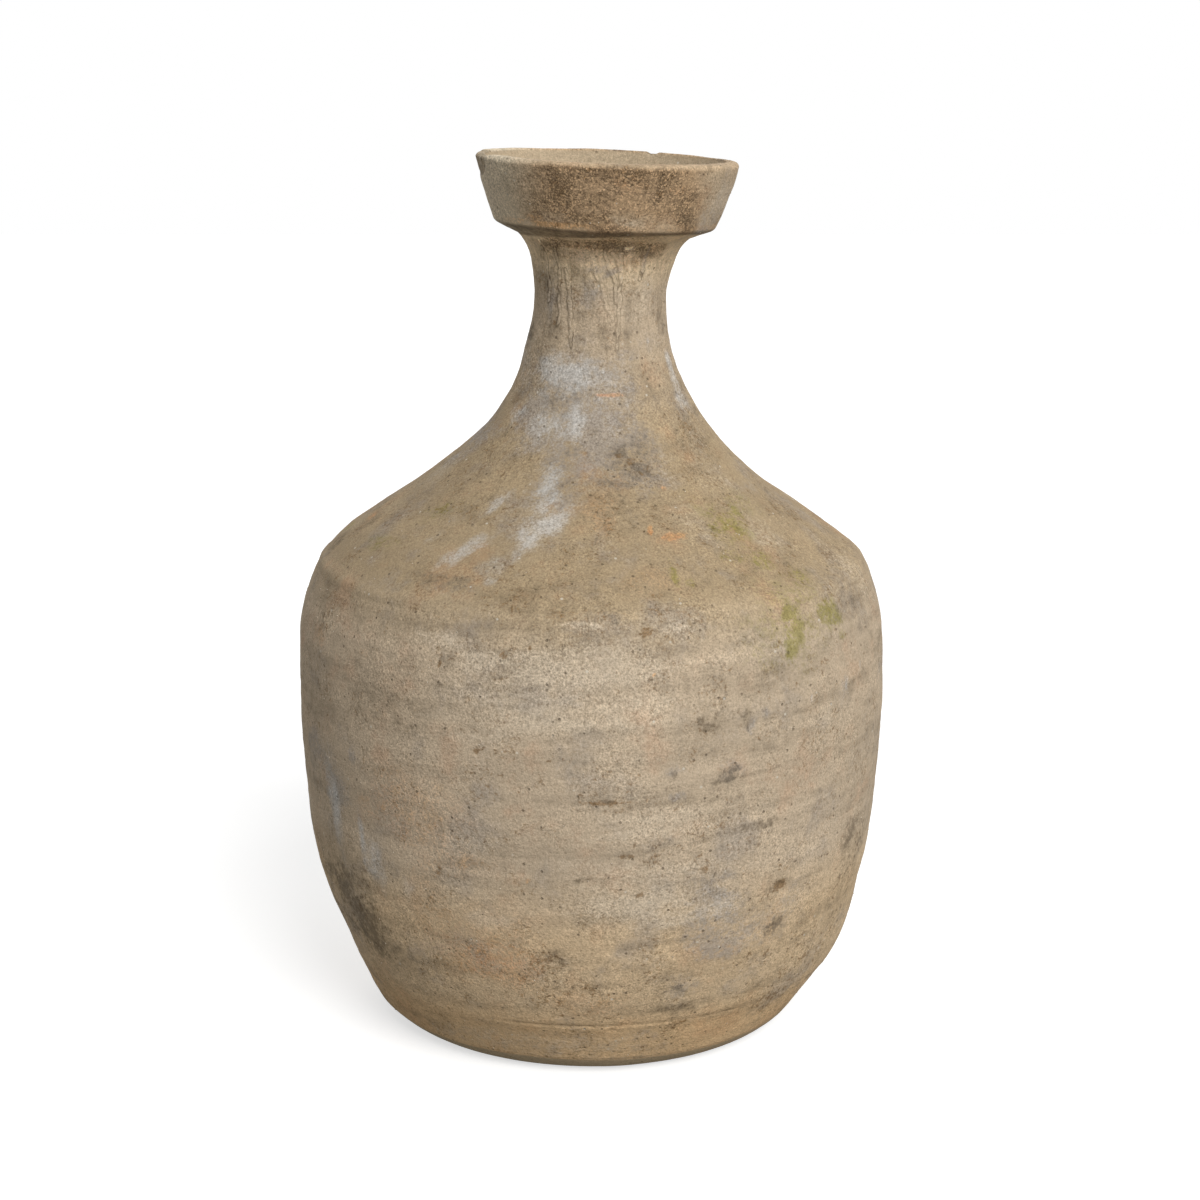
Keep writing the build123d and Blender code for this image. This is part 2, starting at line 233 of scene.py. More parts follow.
# Marks that weather and kiln left on the wall. Each is: turn in degrees, height, half width and
# half height in millimetres, strength, and where it isn't level, how steeply it rises to the right.
# A mark's number among those on its section seeds its ragged edge, so their order is kept.
MARKS = {
    "bloom": (
        (-38, 462, 14, 17, 1.0, -80), (-28, 458, 22, 17, 0.85), (4, 460, 24, 17, 0.4),
        (-12, 465, 14, 12, 0.4), (-22, 446, 38, 34, 0.24), (-22, 374, 38, 20, 0.22, 20),
        (8, 440, 20, 30, 0.22), (-58, 180, 12, 50, 1.1, 8), (-46, 150, 14, 30, 0.85, 12),
        (26, 134, 22, 24, 0.50), (-22, 350, 16, 12, 0.4), (-8, 466, 14, 9, 0.3), (-28, 427.5, 18, 13, 1.1),
        (-13.5, 429, 11, 14, 1.25), (-56, 431, 12, 10, 0.8), (-40, 445, 12, 6, 0.35),
        (-18, 398, 12, 14, 1.0), (-15, 386, 13, 9, 0.85, 10), (-14, 372, 19, 13, 1.2, 6),
        (-9, 379.5, 12, 8, 0.7, 25), (-17, 362, 13, 9, 0.5), (-32.5, 384, 6, 13, 0.8, -35),
        (-32, 357, 18, 8, 1.1, 32), (-44, 360, 9, 4, 0.5, 25), (-21.5, 344, 7, 3, 0.4),
        (67, 458, 9, 24, 1.15), (63, 441, 12, 9, 0.8), (3, 463, 1.6, 1.6, 1.3),
        (42.5, 481.5, 2.4, 2.6, 1.2), (17, 442, 2.0, 2.2, 1.3), (-49, 165, 5, 24, 1.3, 8),
        (-37, 140, 9, 14, 0.6), (56, 266, 3.5, 7, 0.8), (62, 272.5, 2.5, 4, 0.8),
        (44.5, 264, 1.2, 3.5, 1.2),
    ),
    "haze": (
        (-66, 212, 22, 24, 0.9), (-4, 455, 42, 40, 0.85), (-14, 420, 34, 24, 0.8), (12, 412, 40, 28, 0.7),
        (-12, 390, 30, 20, 0.7), (40, 120, 40, 26, 0.5, 10), (-50, 221, 11, 12, 0.8),
        (-54, 187, 16, 14, 0.8), (-49, 160, 9, 26, 0.6), (26, 122, 34, 30, 0.75, 10),
        (22, 150, 30, 14, 0.5, 5), (27, 104, 34, 16, 0.8, 5), (62, 560, 18, 22, 0.7),
        (-40, 425, 20, 30, 0.7), (-58, 196, 20, 30, 0.8), (-42, 436, 14, 18, 0.9),
        (26, 226, 15, 9, 0.8, 5), (15, 231, 9, 7, 0.7), (15.5, 213.5, 9, 6, 0.8), (30, 254.5, 6, 7, 1.0),
        (33, 261.5, 6, 5, 0.7), (55, 263, 6, 9, 0.8), (-9, 512, 12, 12, 0.9), (-1.5, 531, 5, 15, 0.9, -65),
        (8, 528, 3, 13, 0.9, -60), (-46, 511, 9, 22, 0.7), (33, 536, 3, 10, 0.7), (-30, 340, 40, 10, 0.3),
        (12, 183, 20, 8, 0.5, 5), (-10, 275, 60, 9, 0.3, 3), (19, 75, 20, 12, 0.6),
        (-33, 100, 26, 20, 0.45), (-2, 340, 30, 10, 0.25), (20, 402, 18, 10, 0.4), (-60, 455, 18, 20, 0.6),
    ),
    "moss": (
        (41, 320, 6, 7, 1.0), (41.5, 306.5, 13, 10, 0.7), (40, 296.5, 6, 7, 0.9), (44, 318, 60, 42, 0.38),
        (42, 366, 24, 14, 0.4), (38, 381, 22, 14, 0.32), (56, 378, 20, 14, 0.35), (43, 311, 7, 14, 0.45),
        (19.5, 347, 4, 9, 0.8), (22.5, 343, 6, 4, 0.5), (49, 375.5, 5, 4, 0.7), (44.5, 369, 14, 9, 0.45),
        (43.5, 349.5, 15, 6, 0.6), (36, 353, 12, 6, 0.4), (51, 337, 6, 5, 0.6), (54, 313, 15, 13, 0.9),
        (56, 297, 6, 5, 0.5), (-50, 372, 26, 10, 0.35, 10), (-60, 352, 30, 8, 0.35),
    ),
    "rust": (
        (7, 448, 11, 1.8, 1.4, 4), (-8, 537, 26, 11, 0.30), (22, 535, 18, 11, 0.30),
        (-26, 112, 80, 50, 0.30), (-34, 186, 66, 40, 0.34), (-18, 92, 44, 22, 0.34),
        (17, 371, 3, 2.4, 1.8, 40), (23, 367, 11, 3, 0.9), (26, 392, 3, 2, 0.6),
        (-63, 291.5, 14, 12, 0.35), (-47, 292, 7, 5, 0.3), (11.5, 293, 1, 1, 1.2), (-11.5, 157, 2, 2, 0.8),
        (34, 585, 9, 5, 0.4), (8, 588, 20, 7, 0.35), (-36, 563, 12, 4, 0.4), (14, 347, 30, 12, 0.25),
        (2, 380, 18, 14, 0.3), (0, 65, 40, 18, 0.3),
    ),
    "brown": (
        (9, 411, 7, 3, 0.55, -12), (14, 407, 6, 3, 0.6, 20), (19, 409, 8, 2.5, 0.55, -15),
        (24, 404, 8, 3, 0.5, 12), (17, 401, 8, 2.5, 0.5, -10), (27, 410, 5, 2, 0.5, 30),
        (10.5, 318.5, 6, 4, 1.2, 45), (-16, 304.5, 3, 3, 1.3), (-28.5, 296.5, 1.8, 3.8, 1.4),
        (-36.5, 303.5, 1.8, 1.8, 1.1), (-11, 309.5, 1.3, 1.3, 1.3), (-15, 330, 1.4, 7, 0.8),
        (-6, 329, 12, 5, 0.4), (-29, 156.5, 3, 5, 0.9), (38.5, 139.5, 7, 5, 1.1, 10),
        (6.5, 175, 8, 2.6, 0.9), (9, 147.5, 4, 3, 0.8), (21.5, 162.5, 6, 5, 0.6),
        (3, 212, 26, 2.2, 0.9, 2), (5, 208, 18, 4, 0.5), (51, 238, 1.4, 1.4, 1.2),
        (40.5, 275.5, 1.6, 3, 1.1), (26, 292.5, 2.6, 1.2, 1.1, 30), (44.5, 160.5, 1.5, 1.5, 1.1),
        (-7, 239.5, 4, 1, 0.8), (-20.5, 241.5, 3, 4, 0.8, 30), (-30.5, 238.5, 2.4, 1.6, 0.9),
        (50, 333, 1.2, 1.2, 1.3), (46, 342, 1.0, 1.0, 1.3), (14, 338, 8, 1.5, 0.6),
        (57, 352, 2, 1.5, 0.9, 30), (20, 44, 10, 3, 0.6), (-1, 40, 9, 2.5, 0.6),
    ),
    "soot": (
        (17, 407, 19, 11, 0.38, -10), (10, 413, 10, 5, 0.3), (-12, 413, 10, 5, 0.3, 10),
        (-38, 455, 10, 6, 0.45), (-40, 486, 9, 8, 0.6), (-15, 448, 12, 9, 0.45, 30),
        (23, 264, 24, 14, 0.6, 5), (29, 259, 5, 10, 0.7), (25.5, 226, 14, 9, 0.75, 8),
        (15, 229, 4, 9, 0.5), (30, 222, 60, 2.2, 0.5, 4), (30, 185, 42, 6, 0.7, 5),
        (12.5, 183, 12, 5, 0.55), (38.5, 139, 16, 6, 0.5, 5), (38.5, 109, 15, 9, 0.8, 10),
        (-6.5, 103.5, 11, 10, 0.6), (17, 74.5, 14, 8, 0.6), (19.5, 57, 32, 8, 0.5),
        (23.5, 156.5, 1.2, 4.5, 1.0, -20), (59, 155, 16, 12, 0.5), (-60, 120, 30, 20, 0.6),
        (-52, 90, 30, 20, 0.6), (-64, 300, 12, 14, 0.5), (-66, 230, 70, 95, 0.22), (68, 215, 60, 95, 0.22),
        (-58, 115, 60, 60, 0.50), (-48, 85, 34, 30, 0.45), (64, 130, 50, 60, 0.45),
        (36, 462, 14, 40, 0.28), (-48, 252, 14, 7, 0.5), (-36, 252, 34, 5, 0.5),
        (-20, 283, 50, 4, 0.45, 2), (-34, 341, 44, 7, 0.42), (-2, 158.5, 3.4, 3.4, 1.0),
        (0, 545.5, 56, 3.6, 0.75), (-46, 538, 14, 10, 0.5), (38, 541, 16, 7, 0.6), (-30, 532, 10, 8, 0.3),
        (26, 541, 16, 5, 0.5), (12, 390, 52, 44, 0.38), (-49, 583, 9, 10, 0.5), (-40, 566, 14, 10, 0.3),
        (-20, 583, 26, 10, 0.35), (-27, 438, 20, 26, 0.42), (-14, 392, 22, 26, 0.38),
        (25, 424, 13, 13, 0.25), (-45, 462, 12, 16, 0.35), (-4, 576, 14, 8, 0.5), (18, 578, 20, 10, 0.35),
        (46, 564, 16, 10, 0.9), (40, 580, 14, 9, 0.5), (-8, 562, 18, 7, 0.5),
    ),
    "pale": (
        (0, 300, 70, 18, 0.6), (-12, 274, 66, 26, 0.55), (-20, 252, 40, 8, 0.5), (6, 134, 40, 8, 0.4),
        (10, 142, 60, 9, 0.6, 4), (-24, 150, 40, 14, 0.4), (10, 190, 60, 6, 0.4, 3),
        (-10, 262, 50, 8, 0.5), (8, 240, 40, 8, 0.4), (12, 200, 50, 8, 0.6, 3), (30, 196, 36, 5, 0.5, 3),
        (48, 248, 30, 14, 0.4, 5), (0, 168, 50, 7, 0.4), (-12, 130, 40, 18, 0.35), (30, 505, 20, 24, 0.6),
        (-14, 536, 10, 10, 0.5), (30, 375, 30, 16, 0.35), (52, 360, 26, 16, 0.45),
        # The two strongest pale marks, on the neck just under the cup's ledge, are pale chips brightened
        # past the clay to show in the ledge's shadow: partly painted light
        (17.8, 544.8, 3.8, 1.8, 7.0, 8), (-50, 545.5, 1.6, 1.8, 5.0), (0, 292, 60, 8, 0.5),
        (0, 280, 66, 46, 0.35), (8, 210, 56, 40, 0.35), (8, 145, 60, 34, 0.45), (-8, 90, 50, 20, 0.3),
        (-6, 24, 110, 22, 0.5), (-28, 309, 34, 9, 0.9, -3), (-21, 298, 18, 10, 0.9),
        (54, 398, 30, 46, 0.3), (72, 325, 26, 40, 0.5), (-72, 465, 22, 30, 0.6), (-1, 323, 22, 6, 0.9),
        (17, 320, 20, 6, 0.7), (20, 130, 44, 8, 0.9, 5), (-20, 126, 22, 10, 0.7), (-26, 178, 30, 9, 0.6),
        # The pale marks at turns -66, -58, 60 and 78 on the cup also lighten its sides, where the lights
        # leave it in shade: partly painted light
        (-66, 578, 26, 22, 0.9), (-58, 593, 9, 9, 0.8), (78, 578, 26, 20, 0.8), (0, 536, 46, 12, 0.5),
        (-14, 302, 40, 6, 0.5), (10, 276, 30, 8, 0.5), (8, 262, 40, 7, 0.4), (-26, 262, 30, 7, 0.5),
        (-24, 172, 34, 9, 0.5), (20, 165, 40, 7, 0.4), (12, 563, 18, 6, 0.6), (60, 577, 14, 16, 0.5),
    ),
    "pit": (
        (-0.5, 158.5, 2.6, 2.6, 1.6), (-7.5, 138, 3.2, 3.2, 0.9), (-29, 156.5, 2.4, 3.6, 1.0),
        (-28.5, 296.5, 1.6, 3.4, 0.7), (-16, 304.5, 2.6, 2.6, 0.5), (38.5, 139.5, 4, 3, 1.0),
        (30, 256, 3, 4, 0.8), (56, 264, 3, 5, 0.7), (8, 479, 3, 3, -1.2), (18, 546.5, 3.5, 1.6, -1.2),
        (23.5, 156.5, 1.4, 4.5, 1.0, -20), (10.5, 318.5, 5, 3, 0.5, 45), (-20.5, 241.5, 3, 3.6, 0.6, 30),
        (6.5, 175, 5, 2, 0.6), (9, 147.5, 3, 2.4, 0.6),
    ),
    "swell": (
        (90, 66, 140, 40, 2.8), (-90, 70, 140, 42, -3.0), (-90, 16, 130, 32, 2.8), (90, 14, 130, 30, -2.6),
        (-90, 190, 150, 110, -0.9), (84, 584, 80, 22, 2.8), (-98, 332, 90, 13, -1.2),
        (84, 563, 80, 18, 2.6), (88, 514, 40, 20, -1.2), (66, 40, 22, 8, -1.6), (180, 120, 90, 50, -1.4),
        (150, 250, 80, 60, -0.9), (-140, 90, 70, 40, -1.2),
    ),
    "chip": (
        (-84, 597, 29, 12, 0.5), (157, 602, 5, 3, 0.7),
    ),
}

# Drips of slip that dried on the neck, each as turns and heights in degrees and millimetres
DRIPS = (
    ((-6, 545), (-6.5, 541), (-6, 531), (-3, 525), (0.5, 520), (1, 512)),
    ((2, 544), (2.5, 537), (7, 529), (10, 523), (12.5, 517), (13, 508)),
    ((8, 541), (12, 534), (15, 530)),
    ((13, 541), (14, 530), (16, 519), (16, 500), (15, 478)),
    ((-36, 546), (-36, 530), (-37, 514), (-36, 498), (-37, 490)),
    ((-29, 528), (-28, 510), (-25, 492), (-23, 478)),
    ((34, 546), (33, 538), (34, 530), (32, 524)),
    ((-50, 540), (-49, 520), (-50, 505)),
    ((3, 512), (6, 503), (10, 496)),
)

# Lime grains that show as white dots: turn and height in degrees and millimetres, and size
GRAINS = (
    (-29, 222, 0.9), (-25.5, 222.5, 0.8), (-24, 219.5, 1.3), (-24.5, 215.5, 1.2), (-23, 217, 1.0),
    (-19, 223.5, 1.2), (-14, 216.5, 1.2), (-18, 193, 1.3), (-17, 191, 1.3), (-21, 184, 1.2),
    (-17, 182, 1.2), (-10, 190.5, 1.0), (-29, 188.5, 0.8), (24, 270.5, 1.0), (25, 263, 1.0),
    (-0.5, 158.5, 1.6), (3, 463, 1.0), (17, 442, 1.2), (42.5, 481.5, 1.3), (-2, 143, 1.0),
    (27, 219, 0.8), (-7.5, 138, 0.9), (-20, 200, 0.7), (-26, 206, 0.7), (-12, 204, 0.7),
)

# The solid sections, from the floor up. Each is replaced by one thrown wall of the same name.
SECTIONS = (
    ("base_disc", "foot_clay"),
    ("foot_band", "foot_clay"),
    ("lower_wall", "body_clay"),
    ("belly_wall", "body_clay"),
    ("shoulder", "shoulder_clay"),
    ("neck", "neck_clay"),
    ("rim_cup", "rim_clay"),
)
SECTION_NAMES = [name for name, slot in SECTIONS]

# Kinds of marks in the order of their numbers, and how far in from the edge each is at full strength
MARK_KINDS = {
    "bloom": 0.05, "haze": 0.2, "moss": 0.2, "rust": 0.3, "brown": 0.35,
    "soot": 0.2, "pale": 0.1, "pit": 0.1, "swell": 0.0, "chip": 0.86,
}

# Marks nobody placed, for the sides and the back: count, lowest and highest height, smallest and
# largest half width, and how flat they are. Heights and widths in millimetres, turns in degrees.
FAR_MARKS = {
    "bloom": (16, 350, 475, 6, 22, 0.7),
    "haze": (26, 60, 540, 8, 34, 0.6),
    "moss": (12, 290, 380, 4, 12, 0.7),
    "rust": (14, 60, 590, 3, 18, 0.5),
    "brown": (40, 30, 400, 1.5, 7, 0.7),
    "soot": (34, 40, 590, 6, 34, 0.4),
    "pale": (22, 60, 580, 10, 60, 0.4),
    "pit": (26, 60, 330, 2, 4, 0.8),
}
FAR_MARKS_SEED = 11
NEAREST_FAR_TURN = 78
FARTHEST_FAR_TURN = 285
FAR_SIZE_POWER = 1.6
FAR_FLATNESS = (0.6, 1.3)
FAR_TILT = 12
FAR_STRENGTH = (0.4, 1)

# How a mark spreads, in shares of its half width and half height. What a ragged edge adds to them
# depends on how far in from the edge the mark is at full strength.
MARK_SPILL = 1.7
MARK_EDGE = 1.15
MARK_REACH = 2.2
MARKS_APART = 3.7
RAGGED_NOISE = (1.1, 3.0, 0.6)
RAGGED_WHEN_SOFT = (0.0, 0.04, 0.08, 1.7, "LINEAR")
RAGGED_WHEN_HARD = (0.80, 0.85, 1.7, 0.25, "LINEAR")
DRIP_STEP = 2

# Noise runs about the middle, and is spread to run mostly from minus one to one
NOISE_MIDDLE = 0.5
NOISE_SPREAD = 4.0

# The relief of the outside: scales of its noises, depths and half widths in metres, turns in radians
RING_SLANT = 0.03
RING_SCALES = (1.4, 1.4, 38.0)
RING_NOISE = (1.0, 3.0, 0.55)
LUMP_SCALE = 8.0
DENT_SCALE = 27.0
DENT_SHARE = 0.4
GRAIN_NOISE = (190.0, 2.0, 0.6)
BURST_SCALE = 70.0
BURST_CHOICE = 0.72
BURST_WIDTHS = (0.02, 0.20)
BURST_FLOOR_SHARE = 0.3
WANDER_SCALE = 9.0
WANDER_DEPTH = 0.0010
GROOVE_HALF_WIDTHS = (0.0026, 0.0004)
GROOVE_FROM_TURN = (-0.5, -0.1)
GROOVE_TO_TURN = (0.35, 0.9, 1.0, 0.45)
GROOVE_REAR_TURN = (1.4, 1.9, 0.0, 0.6)
RIDGE_OVER_JOINT = 5 * MM
RIDGE_HALF_WIDTHS = (0.005, 0.0008)
RIDGE_DEPTH = 0.0007
WAVER_NOISE = (110.0, 2.0, 0.5)
WAVER_DEPTH = 0.007
DRIP_HALF_WIDTHS = (0.0024, 0.0004)
BREAK_SCALES = (26.0, 45.0)
BREAK_ROUGHNESS = 0.0006
BREAK_DEPTH = 0.0021
RELIEF_SINK = 0.0004
LEAST_RADIUS = 0.0001
MERGE_DISTANCE = 0.000001
CREASE_ANGLE = 0.9
WALL_CLEARANCE = 0.1 * MM
GRAIN_CLEARANCE = 0.05 * MM
OUTSIDE_SKIN = 0.97
GRAIN_TURNS = (6.28, 6.28, 6.28)
GRAIN_SHAPE = (1.0, 0.75, 0.6)

# Inputs of the two trees, by kind of socket. The first takes the mesh that the tree is run on.
WALL_INPUTS = {
    "Geometry": ("Profile",),
    "Int": ("Columns",),
    "Bool": ("Closed",),
    "Object": ("Marks", "Drips"),
    "Float": (
        "Ring depth", "Lump depth", "Grain depth", "Pit depth", "Groove depth", "Groove height",
        "Ridge height", "Drip height", "Widest",
    ),
    "Material": ("Clay",),
}
GRITS_INPUTS = {
    "Geometry": ("Places",),
    "Collection": ("Walls",),
    "Float": ("Per square metre", "Smallest", "Largest", "Widest"),
    "Int": ("Seed",),
    "Material": ("Stone",),
}
GRITS_PER_SQUARE_METRE = 900.0
SMALLEST_GRIT = 0.3
LARGEST_GRIT = 0.7
GRITS_SEED = 7

# The clay's own colour by height on the upright jar, in metres. The collar under the cup is lighter than
# the clay, to lift the cup's shadow there: partly painted light.
HEIGHT_COLOURS = (
    (0.000, "foot"), (0.038, "foot"), (0.062, "lower"), (0.115, "lower"), (0.160, "belly"),
    (0.300, "belly"), (0.338, "shoulder"), (0.420, "shoulder"), (0.485, "neck"), (0.512, "neck"),
    (0.532, "collar_painted_light"), (0.553, "collar_painted_light"), (0.556, "cup"), (0.594, "cup"), (0.599, "lip"),
)
RAMP_TOP = 0.6

# Noises are read at the place itself, at one moved aside or beyond it, or with the height slanted
ASIDE_SHIFT = (0.31, 0.17, 0.05)
BEYOND_SHIFT = (0.07, 0.23, 0.11)
STREAK_SLANT = 0.045

# The clay's noises: where each is read, its scale or its scale along each axis, detail and roughness
NOISES = {
    "patches": ("here", 13.0, 3.0, 0.55),
    "warmth": ("aside", 24.0, 4.0, 0.6),
    "mottle": ("beyond", 34.0, 5.0, 0.72),
    "net": ("aside", 70.0, 4.0, 0.7),
    "blotches": ("here", 95.0, 4.0, 0.68),
    "gravel": ("here", 210.0, 2.0, 0.5),
    "pores": ("here", 300.0, 4.0, 0.75),
    "speckle": ("here", 420.0, 2.0, 0.6),
    "sand": ("here", 780.0, 3.0, 0.7),
    "streaks": ("slanted", (6.0, 6.0, 60.0), 6.0, 0.64),
    "bands": ("slanted", (2.2, 2.2, 46.0), 3.0, 0.6),
    "hairs": ("slanted", (30.0, 30.0, 420.0), 3.0, 0.6),
    "runs": ("here", (150.0, 150.0, 15.0), 4.0, 0.6),
    "rills": ("here", (420.0, 420.0, 24.0), 2.0, 0.6),
    "scratches": ("here", (160.0, 240.0, 70.0), 4.0, 0.7),
}
THREAD_NOISE = (46.0, 4.0, 0.6)
WORM_NOISE = (480.0, 3.0, 0.6)

# Noises made of shares of others
BLENDS = {
    "fray": {"blotches": 0.55, "speckle": 0.40, "sand": 0.30},
    "film": {"warmth": 1.0, "fray": 0.5},
    "dusting": {"fray": 1.0, "patches": 0.4},
    "clumps": {"pores": 1.0, "mottle": 0.5, "warmth": 0.4},
    "kiln": {"mottle": 0.45, "patches": 0.35},
    "tufts": {"fray": 0.8, "pores": 0.7},
    "soft": {"fray": 0.50, "mottle": 0.45},
    "scoring": {"scratches": 1.0, "fray": 0.5},
    "tooth": {"speckle": 0.13, "sand": 0.09, "gravel": 0.06},
}

# Changes in the clay. As what drives one runs from the first number to the second, the change runs
# from 0 to 1, or from the third number to the fourth. Heights, and places to the right, in metres.
EASES = {
    # Driven by height
    "wobble": (0.52, 0.54, 1.0, 0.0),
    "body": (0.36, 0.30),
    "low": (0.16, 0.06),
    "neck foot": (0.455, 0.50),
    "neck top": (0.549, 0.547),
    "cup": (0.546, 0.552),
    "coarse foot": (0.528, 0.546),
    "coarse top": (0.6004, 0.5970),
    "fired height": (0.563, 0.577, 0.0, 0.62),
    "painted ledge shadow top": (0.5580, 0.5550),
    "sole": (0.011, 0.003),
    "soot on cup": (0.530, 0.556, 1.0, 0.55),
    "bowl": (0.555, 0.575, 0.0, 0.30),
    "smooth foot": (0.04, 0.06, 0.65, 1.0),
    # Driven by the height over or under a line
    "painted_ledge_shadow": (0.0, 0.0020),
    "corner": (0.0028, 0.0009),
    # Driven by the place to the right
    "ash": (-0.025, -0.065),
    "coarse left": (-0.060, -0.020, 0.05, 1.0),
    "coarse right": (0.082, 0.062),
    "painted ledge shadow height": (-0.050, 0.060, 0.5465, 0.5535, "LINEAR"),
    "corner right": (0.045, -0.005, 0.35, 1.0),
    "corner left": (-0.062, -0.044),
    # Driven by another change
    "streaks on body": (0.0, 1.0, 0.45, 0.95),
    "mottle on body": (0.0, 1.0, 0.85, 0.25),
    # Driven by noises
    "grey film": (0.0, 0.95),
    "warm film": (-0.1, -1.1),
    "settled": (-0.1, 1.25),
    "washed": (0.0, -1.1),
    "net": (0.14, 0.01),
    "warm net": (0.1, 0.7),
    "pores": (0.25, 0.95),
    "thread": (0.08, 0.0),
    "thread gaps": (0.0, 0.7),
    "coarse": (-0.45, 0.45),
    "crack": (0.36, 0.14),
    "crack gaps": (-0.7, 0.4, 0.25, 1.0),
    "crest": (0.40, 0.80),
    "corner gaps": (-0.5, 0.4),
    "sole gaps": (-0.8, 0.4, 0.5, 1.0),
    "dirt": (-0.2, 1.2),
    "stain": (-0.7, 0.5),
    "tufts": (-0.4, 0.9),
    "shore gaps": (-0.5, 0.5, 0.05, 1.0),
    "scoring": (-0.9, 0.8, 0.40, 1.0),
    "chip dirt": (-0.6, 0.8),
    "lining streaks": (0.0, 1.1, 0.0, 0.35),
    "rough patches": (-1.0, 1.0, 0.60, 1.35),
    "dot": (0.30, 0.16),
    "dark dot": (0.90, 0.97),
    "pale dot": (0.980, 0.995),
    # Driven by the wall's attributes
    "shore": (0.01, 0.14),
    "shore end": (0.42, 0.22),
    "drip": (0.25, 0.48),
    "bare_and_painted_light": (1.5, 2.6),
    "chip": (0.18, 0.28),
    "chip rim": (0.06, 0.14),
    "chip rim end": (0.24, 0.18),
    "hollow": (0.1, 1.6),
    "proud": (-0.1, -1.5),
    "inner": (0.97, 0.88),
    "rough outside": (0.90, 0.97, 0.45, 1.0),
}

# How much of its colour each layer lays on the clay, or how far it lightens or darkens it
LAYERS = {
    "patches": 0.11, "bands": 0.055, "grey film": 0.45, "warm film": 0.16, "settled": 0.50,
    "washed": 0.10, "net": 0.26, "threads": 0.66, "hairs": 0.055, "rills": 0.08, "coarse": 0.42,
    "crests": 0.36, "cracks": 0.64, "corner": 0.58, "sole": 0.8, "pale": 0.60, "haze": 0.62,
    "soot": 0.66, "brown": 0.72, "rust": 0.62, "moss": 0.66, "bloom": 0.70, "shore": 0.70,
    "drip": 0.16, "bare_and_painted_light": 0.95, "chip": 0.78, "chip rim": 0.6, "hollow": 0.45, "proud": 0.10,
    "lining": 0.06, "speckle": 0.22, "sand": 0.46, "dark dot": 0.6, "pale dot": 0.7,
}

# How marks wear, in the order that they are laid: the noise that frays them, the strengths at which
# they start and are full, and how far their middle is torn
MARK_WEAR = {
    "pale": ("fray", 0.04, 1.2, 0.25),
    "haze": ("tufts", 0.04, 1.3, 0.35),
    "soot": ("tufts", 0.12, 1.20, 0.55),
    "brown": ("tufts", 0.25, 0.95, 0.55),
    "rust": ("fray", 0.04, 1.2, 0.45),
    "moss": ("tufts", 0.04, 1.2, 0.60),
    "bloom": ("soft", 0.04, 1.50, 0.32),
}
MARK_NEARNESS = 3.0
MARK_FRAY = 0.7

# Shares, shades and bends of single layers
WOBBLE = 0.004
RUNS_SHARE = 1.1
LOW_NET_SHARE = 0.8
LOW_PORES = 0.44
BODY_PORES = -0.24
PORES = 0.62
THREAD_BEND = 0.006
WORM_BEND = 0.0004
SOOT_FIRED = 1.1
CRACK_SHADE = 0.50
# How the painted shadow under the cup's ledge wanders and frays, and how dark it gets at most
PAINTED_LEDGE_SHADOW_WANDER = 0.0005
PAINTED_LEDGE_SHADOW_FRAY = 0.5
PAINTED_LEDGE_SHADOW_SHARE = 0.72
PAINTED_LEDGE_SHADOW_MOST = 0.9
# Height and tint of the painted highlight along the lower edge of the cup's ledge
LEDGE_HIGHLIGHT_HEIGHT = 0.5592
LEDGE_HIGHLIGHT_SHADE = 1.15
# Tint of the painted light on the foot's bottom edge
SOLE_PAINTED_LIGHT_SHADE = 1.35
MOSS_SHADE = -0.36
# How far the pale chips under the cup's ledge are brightened past the clay, as painted light
BARE_PAINTED_LIGHT_SHADE = 1.45
DOT_SCALE = 260.0
DOT_DEPTH = 0.5
CRACK_DEPTH = 0.30
ROUGHNESS_SWING = 0.03
CLAY_ROUGHNESS = 0.90
CLAY_SPECULAR = 0.18
CLAY_BUMP = 0.9
COIL_BUMP = 0.6
COIL_NOISE = (40.0, 3.0)
COIL_PATCHES = (-0.6, 0.8)
COIL_SPECKLE_SCALE = 420.0
COIL_SPECKLE_DEPTH = 0.10
COIL_WIPE_SCALE = 95.0
COIL_ROUGHNESS = (0.2, 0.8, 0.84, 0.96)
COIL_TOOTH_SCALE = 210.0
COIL_TOOTH = 0.2
STONE_SCALE = 90.0
CHALK_SCALE = 1500.0
CHALK_DEPTH = 0.06
CUP_COARSENESS = 1.15

# The studio: each light's name, where it comes from and how wide it is in degrees, and the floor
LIGHTS = (
    ("key", (0.36, -0.74, 0.62), 32),
    ("side", (0.9, 0.3, 0.3), 50),
    ("back", (-0.16, 0.93, 0.33), 60),
)
SENSOR_WIDTH = 36
CLIP_END = 50
FLOOR_HALF = 6.0
FLOOR_SCALE = 3.0
FLOOR_TINTS = ((0.60, 0.60, 0.60), (0.62, 0.62, 0.61))
FLOOR_UNSEEN = (0.28, 0.28, 0.27)
FLOOR_GLOW = 0.62


